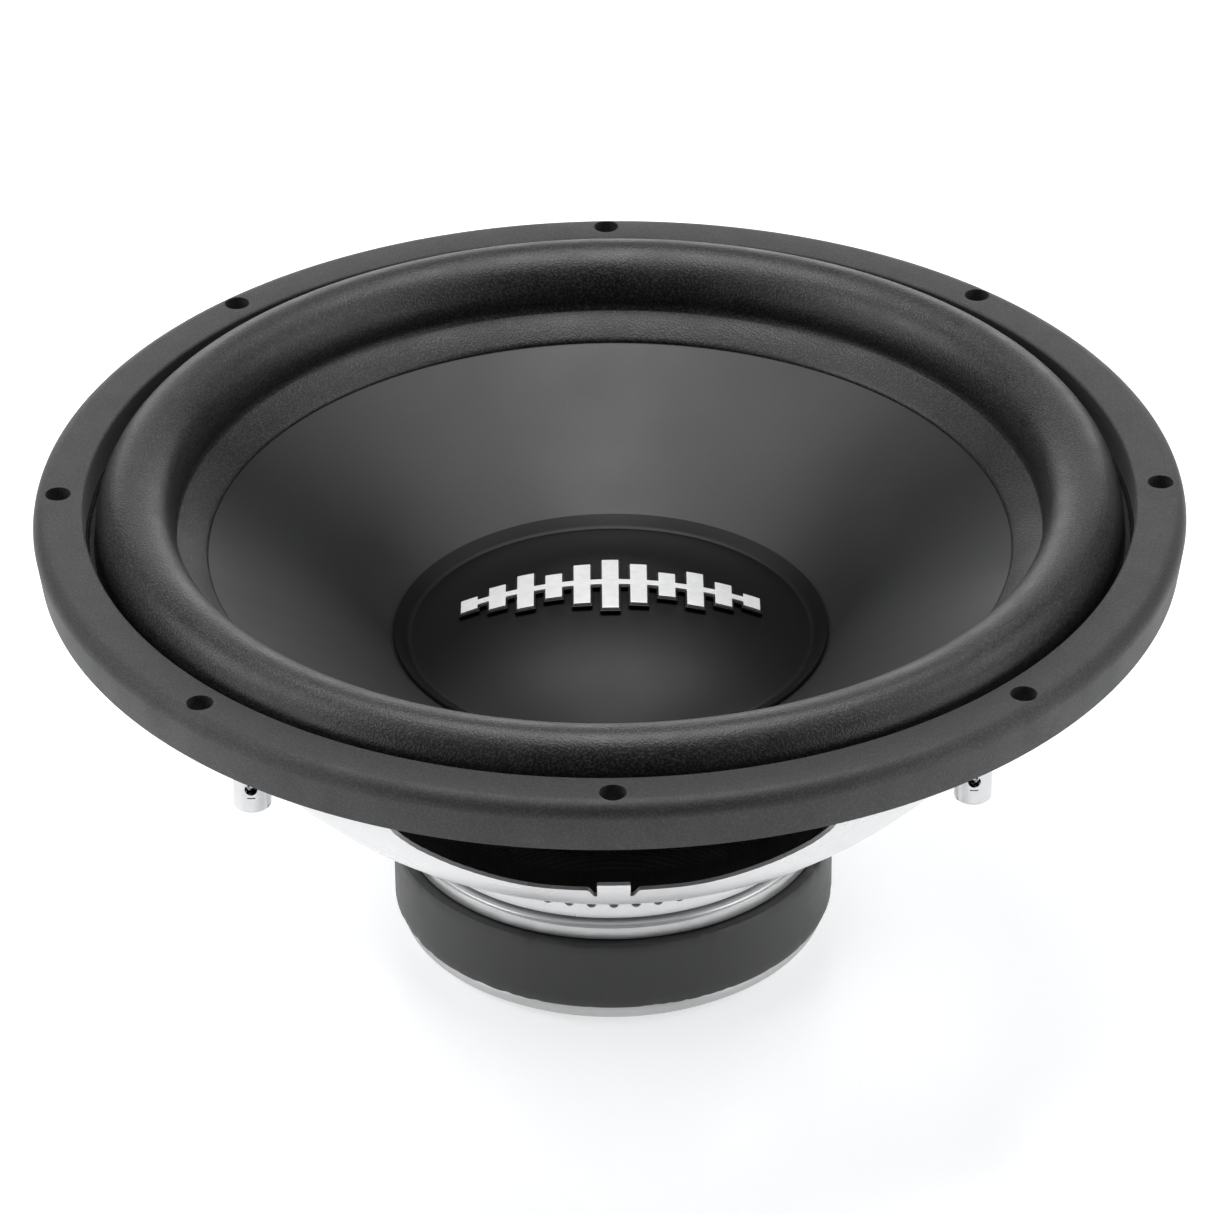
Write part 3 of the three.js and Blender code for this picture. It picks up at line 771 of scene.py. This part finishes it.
emblem = {
    "bars": (6, 11, 17, 12, 20, 25, 20, 12, 17, 11, 6),
    "pitch": 7.8,
    "barWidth": 4.6,
    "spine": 2.4,
    "standOff": 0.3,  # over the dome
    "carrier": 1.0,  # thickness of the black backing
    "carrierMargin": 0.55,
    "face": 0.7,
    "edge": 0.22,
    "blank": 2,  # thickness of the flat blank
    "cutStep": 3,
    "cutReach": (45, 12),  # how far the cross cuts go, across and along
}


def barRow(name, margin):
    # level bars on a thin spine, as one flat blank
    shape = emblem
    middle = (len(shape["bars"]) - 1) / 2
    width = shape["barWidth"] + 2 * margin
    blanks = []
    for i, length in enumerate(shape["bars"]):
        size = (width, length + 2 * margin, shape["blank"])
        blanks.append(boxCutter(((i - middle) * shape["pitch"] * mm, 0, 0), size))
    reach = 2 * middle * shape["pitch"] + 2 * margin
    blanks.append(boxCutter((0, 0, 0), (reach, shape["spine"] + 2 * margin, shape["blank"])))
    row = blanks[0]
    for other in blanks[1:]:
        modify(row, "BOOLEAN", operation="UNION", solver="EXACT", object=other)
        bpy.data.objects.remove(other, do_unlink=True)
    row.name = name
    cleanUp(row)
    modify(row, "BEVEL", width=shape["edge"] * mm, segments=3, limit_method="ANGLE")
    return row


def layOnDome(piece, foot, thickness):
    # cross cuts let the flat blank follow the dome
    blank = emblem["blank"]
    openEdit(piece)
    for reach, normal in zip(emblem["cutReach"], ((1, 0, 0), (0, 1, 0))):
        for i in range(-reach, reach + 1, emblem["cutStep"]):
            bpy.ops.mesh.select_all(action="SELECT")
            bpy.ops.mesh.bisect(plane_co=[side * i * mm for side in normal], plane_no=normal)
    closeEdit()
    for vertex in piece.data.vertices:
        radius = math.hypot(vertex.co.x, vertex.co.y) / mm
        share = (vertex.co.z / mm + blank / 2) / blank
        vertex.co.z = (domeHeight(radius, foot) + share * thickness) * mm
    smoothOff(piece, 30)


def satinSilver():
    # silver lacquer, nearly white
    material, shader = startMaterial("satinSilver", (0.86, 0.863, 0.868), 0.4, 0.25)
    cloud = noiseOn(material, objectPoint(material), 420, 2.0)
    blendColours(material, shader, spread(material, cloud, 0, 1), (0.82, 0.823, 0.828), (0.9, 0.903, 0.908))
    return material


def makeEmblem():
    shape = emblem
    carrier = barRow("emblemCarrier", shape["carrierMargin"])
    layOnDome(carrier, shape["standOff"], shape["carrier"])
    dress(carrier, satinPoly("carrierPlastic", (0.004, 0.004, 0.0042), 0.35, 0.4))
    setBody(carrier, "cone_assembly")
    face = barRow("emblemFace", 0)
    layOnDome(face, shape["standOff"] + shape["carrier"] - 0.05, shape["face"])
    dress(face, satinSilver())
    setBody(face, "cone_assembly", "badge")


makeEmblem()
print("emblem done")


motorShape = {
    "plateBore": 28.6,
    "magnetBore": 32.0,
    "spigot": 13.7,
    "vent": 10.5,
    "ventMouth": 12.4,
    "chamfer": 0.8,
    "chips": 130,
    "chipReach": (0.8, 2.6),
    "chipDepth": (0.08, 0.3),
}


def makeTopPlate():
    outer, foot, top = nodeSize("top_plate")
    bore = motorShape["plateBore"]
    outline = [(bore, foot), (outer - 0.7, foot), (outer - 0.2, foot + 0.25)]
    outline += [(outer, foot + 0.8), (outer, top - 1.1), (outer - 0.15, top - 0.9)]
    outline += [(outer - 0.7, top - 0.75), (outer - 0.85, top - 0.35), (outer - 1.2, top - 0.15)]
    outline += [(outer - 2.0, top), (bore + 0.4, top), (bore, top - 0.4)]
    plate = turnedPiece("topPlate", outline, 256)
    dress(plate, turnedMetal("zincPlated", (0.42, 0.422, 0.425), (0.68, 0.683, 0.687), 0.38, 700, 0.03))
    setBody(plate, "frame", "top_plate")


def makeMagnet():
    # a fired ferrite ring: ground faces, and edges that chipped when it was pressed out
    outer, foot, top = nodeSize("magnet_ring")
    bore, cut = motorShape["magnetBore"], motorShape["chamfer"]
    outline = [(bore, foot), (outer - cut - 4, foot), (outer - cut, foot)]
    outline += [(outer - 0.25, foot + 0.25), (outer, foot + cut)]
    steps = 8
    outline += [(outer, foot + cut + (top - foot - 2 * cut) * i / steps) for i in range(1, steps + 1)]
    outline += [(outer - 0.25, top - 0.25), (outer - cut, top), (outer - cut - 4, top), (bore, top)]
    magnet = turnedPiece("ferriteRing", outline, 384, smoothAngle=28)
    middle = (foot + top) / 2 * mm
    chance = random.Random(7)
    chips = []
    for i in range(motorShape["chips"]):
        angle = chance.uniform(0, 360)
        height = top if i % 3 else foot
        reach = chance.uniform(*motorShape["chipReach"]) * mm
        depth = chance.uniform(*motorShape["chipDepth"]) * mm
        chips.append((onCircle(outer - cut * 0.4, angle, height), reach, depth))
    for vertex in magnet.data.vertices:
        if math.hypot(vertex.co.x, vertex.co.y) < (outer - cut - 2) * mm:
            continue
        for place, reach, depth in chips:
            apart = (vertex.co - place).length
            if apart < reach:
                bite = depth * (1 - apart / reach)
                flat = Vector((vertex.co.x, vertex.co.y, 0)).normalized()
                vertex.co -= flat * bite
                upper = place.z > vertex.co.z - 2 * mm and place.z > middle
                vertex.co.z -= bite * 0.5 * (1 if upper else -1)
    dress(magnet, ferriteGrey())
    setBody(magnet, "frame", "magnet_ring")


def ferriteGrey():
    material, shader = startMaterial("firedFerrite", (0.05, 0.051, 0.053), 0.5)
    point = objectPoint(material)
    blotch = noiseOn(material, point, 45, 6.0, 0.65)
    grit = noiseOn(material, point, 1900, 2.0)
    drag = noiseOn(material, aroundAxis(material), 420, 3.0)
    mixed = combine(material, "MULTIPLY", spread(material, blotch, 0.25, 1), spread(material, grit, 0.75, 1))
    blendColours(material, shader, mixed, (0.012, 0.0123, 0.013), (0.03, 0.0305, 0.0315))
    link(material, spread(material, blotch, 0.36, 0.56), shader.inputs["Roughness"])
    raiseBumps(material, shader, [(grit, 0.02), (drag, 0.03), (blotch, 0.05)])
    return material


def makeBackPlate():
    outer, foot, top = nodeSize("back_plate")
    bore = motorShape["spigot"] + gap
    outline = [(bore + 0.4, foot), (outer - 2.9, foot), (outer - 2.5, foot + 0.3), (outer - 0.4, foot + 2.0)]
    outline += [(outer, foot + 2.6), (outer, top - 0.7), (outer - 0.2, top - 0.2), (outer - 0.7, top)]
    outline += [(bore, top), (bore, foot + 0.4)]
    plate = turnedPiece("backPlate", outline, 256)
    dress(plate, turnedMetal("zincPlatedBack", (0.36, 0.362, 0.365), (0.58, 0.583, 0.587), 0.36, 600, 0.05))
    setBody(plate, "frame", "back_plate")


def makePole():
    outer, foot, top = nodeSize("pole_piece")
    spigot, vent, mouth = motorShape["spigot"], motorShape["vent"], motorShape["ventMouth"]
    shoulder = nodeSize("back_plate")[2] + gap
    outline = [(mouth, foot), (spigot, foot), (spigot, shoulder), (outer, shoulder)]
    outline += [(outer, top - 1.2), (outer - 0.4, top - 0.4), (outer - 1.2, top)]
    outline += [(vent + 1, top), (vent + 0.3, top - 0.3), (vent, top - 1), (vent, 5.0), (vent + 0.4, 3.0)]
    outline += [(vent + 1.1, 1.3)]
    pole = turnedPiece("ventedPole", outline, 128)
    dress(pole, turnedMetal("softIron", (0.22, 0.22, 0.225), (0.4, 0.4, 0.41), 0.38, 500, 0.04))
    setBody(pole, "frame", "pole_piece")


def makeRivets():
    foot = nodeSize("basket")[1]
    floorTop = foot + basketShape["steel"]
    outline = [(0, foot - 2.7), (1.6, foot - 2.7), (1.9, foot - 2.3), (1.9, floorTop + gap)]
    outline += [(3.5, floorTop + gap), (3.6, floorTop + 0.7)]
    outline += arcPoints((0, floorTop - 2.2), 4.3, 48, 90, 6)
    rivet = turnedPiece("rivet1", outline, 32, closed=False)
    dress(rivet, plainMetal("rivetSteel", (0.7, 0.705, 0.71), 0.3))
    circle, start, count = basketShape["rivetCircle"], basketShape["firstRivet"], basketShape["rivets"]
    first = onCircle(circle, start)
    shiftPiece(rivet, first)
    for i in range(count):
        copy = copyPiece(rivet, "rivet" + str(i + 1)) if i else rivet
        if i:
            copy.data.transform(Matrix.Translation(onCircle(circle, start + 360 // count * i) - first))
        setBody(copy, "frame", "rivet_" + str(i + 1))


makeTopPlate()
makeMagnet()
makeBackPlate()
makePole()
makeRivets()
print("motor done")


coilShape = {
    "bore": 25.3,
    "turns": 44,
    "layer": 1.4,
}
spiderShape = {
    "neck": 26.2,
    "flatInner": 28.5,
    "flatOuter": 74.5,
    "firstWave": 31.0,
    "lastWave": 72.0,
    "waves": 7,
    "height": 3.4,
    "cloth": 0.7,
    "fixedRadius": 74.0,
    "movingRadius": 29.0,
}


def makeCoil():
    outer, foot, top = nodeSize("coil_former")
    bore = coilShape["bore"]
    outline = [(bore, foot), (outer, foot), (outer, top), (bore, top)]
    former = turnedPiece("coilFormer", outline, 128)
    material, shader = startMaterial("amberFilm", (0.34, 0.15, 0.045), 0.28)
    rings = noiseOn(material, aroundAxis(material), 260, 2.0)
    blendColours(material, shader, spread(material, rings, 0, 1), (0.26, 0.1, 0.03), (0.42, 0.19, 0.06))
    dress(former, material)
    setBody(former, "cone_assembly", "coil_former")

    outer, foot, top = nodeSize("coil_winding")
    inner = outer - coilShape["layer"]
    pitch = (top - foot) / coilShape["turns"]
    outline = [(inner, top), (inner, foot)]
    for i in range(coilShape["turns"]):
        middle = foot + (i + 0.5) * pitch
        outline += arcPoints((outer - pitch / 2, middle), pitch / 2, -80, 80, 4)
    winding = turnedPiece("coilWinding", outline, 128, smoothAngle=50)
    dress(winding, plainMetal("enamelledCopper", (0.62, 0.27, 0.12), 0.3))
    setBody(winding, "cone_assembly", "coil_winding")


def pressedCloth():
    # straight-woven cotton, dipped in resin and pressed
    material, shader = startMaterial("pressedCloth", (0.03, 0.027, 0.024), 0.85)
    point = objectPoint(material)
    threads = []
    for direction in ("X", "Y"):
        wave = addNode(material, "ShaderNodeTexWave", wave_type="BANDS", bands_direction=direction)
        setInputs(wave, {"Scale": 420, "Distortion": 0.4})
        link(material, point, wave.inputs["Vector"])
        threads.append(wave.outputs["Fac"])
    weave = combine(material, "MAXIMUM", *threads)
    blendColours(material, shader, weave, (0.012, 0.011, 0.01), (0.05, 0.046, 0.042))
    raiseBumps(material, shader, [(weave, 0.15)])
    return material


def makeSpider():
    shape = spiderShape
    outer, foot = nodeSize("spider")[:2]
    face = [(shape["neck"], foot), (shape["flatInner"], foot)]
    steps = shape["waves"] * 8
    for i in range(steps + 1):
        share = i / steps
        radius = shape["firstWave"] + (shape["lastWave"] - shape["firstWave"]) * share
        lift = shape["height"] * (1 - math.cos(2 * math.pi * shape["waves"] * share)) / 2
        face.append((radius, foot + lift))
    face += [(shape["flatOuter"], foot), (outer, foot)]
    spider = turnedPiece("spider", sheetOutline(face, shape["cloth"]), 192, smoothAngle=60)
    dress(spider, pressedCloth())
    stretchRound(spider, "spider")


makeCoil()
makeSpider()
print("coil and spider done")


# Each side is modelled along +X from the axis, then turned to its place.

postShape = {
    "radius": 134.0,
    "angles": {"left": -135, "right": -45},
    "capRadius": 5.0,
    "capFoot": 97.0,
    "capTop": 109.0,
    "capFloor": 1.6,
    "studRadius": 3.2,
    "studRise": 6,  # of the stud's foot over the cap's
    "studHole": 1.5,
    "holeHeight": 104.5,
    "holeRadius": 1.7,
    "drillLength": 20,
    "travel": 3.0,
    "slitHeight": 101.9,
    "slit": (2.2, 0.8, 0.35),
}
blockShape = {
    "inner": 129.4,
    "outer": 143.0,
    "half": 11.5,
    "foot": 112.6,
    "channel": 5.0,
    "tagFoot": 119.5,
    "tagWall": 0.8,
    "screwRadius": 137.0,
    "screwSpread": 8.8,
    "studHole": 2.3,
    "screwHole": 1.8,
    "drillLength": 40,
}
springShape = {
    "wire": 0.28,
    "radius": 2.2,
    "turns": 4,
    "room": 3.8,
}
tagShape = {
    "middle": 128.5,
    "size": (19, 9),
    "neck": 125,  # inside this radius the tag narrows
    "narrow": 0.56,
    "corner": 1.6,
}


def placePiece(piece, name, angle):
    shiftPiece(piece, (postShape["radius"] * mm, 0, 0))
    turnPiece(piece, angle)
    piece.name = name


def capBlank():
    shape = postShape
    radius, foot, top = shape["capRadius"], shape["capFoot"], shape["capTop"]
    bore = shape["studRadius"] + gap
    inside = foot + shape["capFloor"]
    outline = [(0, foot + 0.25), (2.6, foot + 0.25), (3.0, foot), (radius - 0.9, foot)]
    outline += arcPoints((radius - 0.9, foot + 0.9), 0.9, -80, 0, 6)
    outline += [(radius, top - 0.4), (radius - 0.4, top), (bore, top)]
    outline += [(bore, inside), (0, inside)]
    return turnedPiece("capBlank", outline, 64, closed=False)


def makePushCap(side, angle, chrome):
    shape = postShape
    cap = capBlank()
    hole = (0, 0, shape["holeHeight"] * mm)
    cutAway(cap, roundCutter(hole, shape["holeRadius"], shape["drillLength"], "Y", 32))
    for way in (-1, 1):
        place = Vector((0, way * shape["capRadius"], shape["slitHeight"])) * mm
        cutAway(cap, boxCutter(place, shape["slit"]))
    turnPiece(cap, -angle)  # the hole runs front to back once the side is turned to its place
    smoothOff(cap, 30)
    placePiece(cap, "pushCap" + side.title(), angle)
    dress(cap, chrome)
    setBody(cap, "push_" + side, "push_cap_" + side)


def makeStud(side, angle, chrome):
    shape = postShape
    foot = shape["capFoot"] + shape["studRise"]
    shoulder = blockShape["foot"] - gap
    tagTop = blockShape["tagFoot"] + blockShape["tagWall"] + gap
    top = nodeSize("terminal_stud_" + side)[2]
    radius = shape["studRadius"]
    outline = [(0, foot), (radius - 0.3, foot), (radius, foot + 0.3), (radius, shoulder), (2, shoulder)]
    outline += [(2, tagTop), (3.4, tagTop), (3.4, tagTop + 0.3), (2.6, top - 0.15), (1.4, top), (0, top)]
    stud = turnedPiece("stud", outline, 48, closed=False)
    height = shape["holeHeight"] + shape["travel"]
    cutAway(stud, roundCutter((0, 0, height * mm), shape["studHole"], shape["drillLength"], "Y", 24))
    turnPiece(stud, -angle)
    smoothOff(stud, 30)
    placePiece(stud, "stud" + side.title(), angle)
    dress(stud, chrome)
    setBody(stud, "frame", "terminal_stud_" + side)


def makeSpring(side, angle, steel):
    # a wire ring screwed upwards, with room between its turns
    wire, coilRadius, turns = springShape["wire"], springShape["radius"], springShape["turns"]
    foot = postShape["capFoot"] + postShape["capFloor"] + gap + wire
    rise = springShape["room"] - 2 * wire
    deselectAll()
    bpy.ops.mesh.primitive_circle_add(
        vertices=10, radius=wire * mm, location=(coilRadius * mm, 0, 0),
        rotation=(math.pi / 2, 0, 0), fill_type="NGON")
    spring = bpy.context.object
    settle(spring)
    modify(spring, "SCREW", angle=2 * math.pi * turns, screw_offset=rise * mm,
           steps=24 * turns, render_steps=24 * turns, use_merge_vertices=False)
    spring.name = "springCoil"
    cleanUp(spring, 0.005)
    smoothOff(spring, 60)
    shiftPiece(spring, (0, 0, foot * mm))
    placePiece(spring, "capSpring" + side.title(), angle)
    dress(spring, steel)
    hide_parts("cap_spring_" + side)
    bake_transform(spring)


def makeBlock(side, angle, plastic):
    shape = blockShape
    foot, top = shape["foot"], nodeSize("terminal_block_" + side)[2]
    middle = (shape["inner"] + shape["outer"]) / 2
    size = (shape["outer"] - shape["inner"], 2 * shape["half"], top - foot)
    block = boxCutter(Vector((middle, 0, (foot + top) / 2)) * mm, size)
    modify(block, "BEVEL", width=1.0 * mm, segments=4, limit_method="ANGLE")
    channelFoot = shape["tagFoot"] - gap
    channel = boxCutter(Vector((middle, 0, channelFoot + 5)) * mm, (40, 2 * shape["channel"], 10))
    cutAway(block, channel)
    length = shape["drillLength"]
    post = Vector((postShape["radius"], 0, foot)) * mm
    cutAway(block, roundCutter(post, shape["studHole"], length, "Z", 32))
    for way in (-1, 1):
        place = Vector((shape["screwRadius"], way * shape["screwSpread"], foot)) * mm
        cutAway(block, roundCutter(place, shape["screwHole"], length, "Z", 24))
    # a shallow groove round the post, in the block's underside
    groove = turnedPiece(
        "collar", [(4.1, foot + 0.6), (6.2, foot + 0.6), (6.2, foot + 0.3), (4.1, foot + 0.3)], 48)
    shiftPiece(groove, (postShape["radius"] * mm, 0, -0.35 * mm))
    cutAway(block, groove)
    smoothOff(block, 30)
    turnPiece(block, angle)
    block.name = "terminalBlock" + side.title()
    dress(block, plastic)
    setBody(block, "frame", "terminal_block_" + side)


def makeBlockScrews(side, angle, steel):
    shape = blockShape
    foot = shape["foot"]
    top = nodeSize("block_screw_" + side + "_1")[2]
    outline = [(0, foot - 2.1), (1.6, foot - 2.05), (2.3, foot - 1.8), (2.65, foot - 1.2), (2.7, foot - gap)]
    outline += [(1.5, foot - gap)]
    thread = []
    height = foot + 0.4
    while height < top - 1.0:
        thread += [(1.5, height), (1.25, height + 0.25), (1.5, height + 0.5)]
        height += 0.5
    outline += thread + [(1.4, top - 0.5), (0.6, top), (0, top)]
    screw = turnedPiece("screwBlank", outline, 24, closed=False, smoothAngle=25)
    for size in ((3.0, 0.6, 1.6), (0.6, 3.0, 1.6)):
        cutAway(screw, boxCutter((0, 0, (foot - 2.0) * mm), size))
    for number, way in ((1, -1), (2, 1)):
        copy = copyPiece(screw, "blockScrew" + side.title() + str(number))
        shiftPiece(copy, (shape["screwRadius"] * mm, way * shape["screwSpread"] * mm, 0))
        turnPiece(copy, angle)
        dress(copy, steel)
        setBody(copy, "frame", "block_screw_" + side + "_" + str(number))
    bpy.data.objects.remove(screw, do_unlink=True)


def makeTag(side, angle, brass):
    # a flat brass tag, narrowed inside its neck, with a hole for the post
    shape = blockShape
    low, wall = shape["tagFoot"], shape["tagWall"]
    post = Vector((postShape["radius"], 0, low)) * mm
    tag = boxCutter(Vector((tagShape["middle"], 0, low + wall / 2)) * mm, (*tagShape["size"], wall))
    for vertex in tag.data.vertices:
        if vertex.co.x < tagShape["neck"] * mm:
            vertex.co.y *= tagShape["narrow"]
    modify(tag, "BEVEL", width=tagShape["corner"] * mm, segments=4, affect="VERTICES")
    tag.data.validate()
    cutAway(tag, roundCutter(post, shape["studHole"], 10, "Z", 32))
    smoothOff(tag, 30)
    turnPiece(tag, angle)
    tag.name = "solderTag" + side.title()
    dress(tag, brass)
    setBody(tag, "frame", "solder_tag_" + side)


leadRoute = (
    (121.2, 119.2), (119.8, 113.0), (114.0, 104.5), (103.0, 96.5), (90.0, 89.0),
    (76.0, 81.0), (62.0, 74.5), (51.0, 72.2), (45.4, 74.0), (43.1, 78.0),
)
leadShape = {
    "radius": 1.1,
    "strand": 0.42,
    "strands": 6,
    "turns": 26,
    "samples": 220,
    "fixedRadius": 112,
    "movingRadius": 46,
    "blendHeight": 100,
    "eyeletRadius": 42.0,
}


def routePoint(share):
    # a smooth curve through the route's points
    place = share * (len(leadRoute) - 1)
    i = min(int(place), len(leadRoute) - 2)
    t = place - i
    points = [Vector(leadRoute[min(max(i + k, 0), len(leadRoute) - 1)]) for k in (-1, 0, 1, 2)]
    a, b, c, d = points
    return 0.5 * ((2 * b) + (c - a) * t + (2 * a - 5 * b + 4 * c - d) * t ** 2
                  + (3 * b - a - 3 * c + d) * t ** 3)


def makeLead(side, angle, braid):
    # six strands laid round each other along the hanging bow
    shape = leadShape
    data = bpy.data.curves.new("braidCurve", "CURVE")
    data.dimensions = "3D"
    data.bevel_depth = shape["strand"] * mm
    data.bevel_resolution = 1
    data.use_fill_caps = True
    lay = shape["radius"] - shape["strand"]
    for strand in range(shape["strands"]):
        spline = data.splines.new("POLY")
        spline.points.add(shape["samples"] - 1)
        for i in range(shape["samples"]):
            share = i / (shape["samples"] - 1)
            here = routePoint(share)
            along = (routePoint(min(share + 0.01, 1)) - routePoint(max(share - 0.01, 0))).normalized()
            turn = 2 * math.pi * (shape["turns"] * share + strand / shape["strands"])
            across = Vector((-along.y, along.x)) * (lay * math.cos(turn))
            spline.points[i].co = (
                (here.x + across.x) * mm, lay * math.sin(turn) * mm, (here.y + across.y) * mm, 1)
    lead = bpy.data.objects.new("braidCurve", data)
    bpy.context.collection.objects.link(lead)
    takeUp(lead)
    bpy.ops.object.convert(target="MESH")
    lead = bpy.context.object
    smoothOff(lead, 60)
    turnPiece(lead, angle)
    lead.name = "tinselLead" + side.title()
    dress(lead, braid)
    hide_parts("tinsel_lead_" + side)
    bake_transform(lead)


def makeEyelet(side, angle, brass):
    half = coneShape["wall"] / 2 + gap
    reach = leadShape["eyeletRadius"]
    outline = [(1.0, -half - 0.5), (1.3, -half - 0.6), (2.8, -half - 0.6), (3.0, -half - 0.4), (3.0, -half)]
    outline += [(1.8, -half), (1.8, half), (3.0, half), (3.0, half + 0.4), (2.8, half + 0.6)]
    outline += [(1.3, half + 0.6), (1.0, half + 0.5)]
    eyelet = turnedPiece("eyelet", outline, 32)
    drop = coneShape["wall"] * math.hypot(1, coneShape["slope"])
    eyelet.rotation_euler.y = -math.atan(coneShape["slope"])
    eyelet.location = Vector((reach, 0, coneTop(reach) - drop / 2)) * mm
    settle(eyelet)
    turnPiece(eyelet, angle)
    eyelet.name = "leadEyelet" + side.title()
    dress(eyelet, brass)
    setBody(eyelet, "cone_assembly", "lead_eyelet_" + side)


def makeTerminals():
    chrome = plainMetal("terminalChrome", (0.6, 0.605, 0.613), 0.1, 0.03)
    steel = plainMetal("screwSteel", (0.62, 0.625, 0.63), 0.3)
    brass = plainMetal("tinnedBrass", (0.78, 0.6, 0.28), 0.32)
    braid = plainMetal("silverBraid", (0.66, 0.665, 0.67), 0.42)
    plastic = grainyBlack("blockPlastic", (0.012, 0.012, 0.0125), (0.02, 0.02, 0.021), 0.5, 1800, 0.03)
    for side, angle in postShape["angles"].items():
        makePushCap(side, angle, chrome)
        makeStud(side, angle, chrome)
        makeSpring(side, angle, steel)
        makeBlock(side, angle, plastic)
        makeBlockScrews(side, angle, steel)
        makeTag(side, angle, brass)
        makeLead(side, angle, braid)
        makeEyelet(side, angle, brass)
        print(side, "terminal done")


makeTerminals()
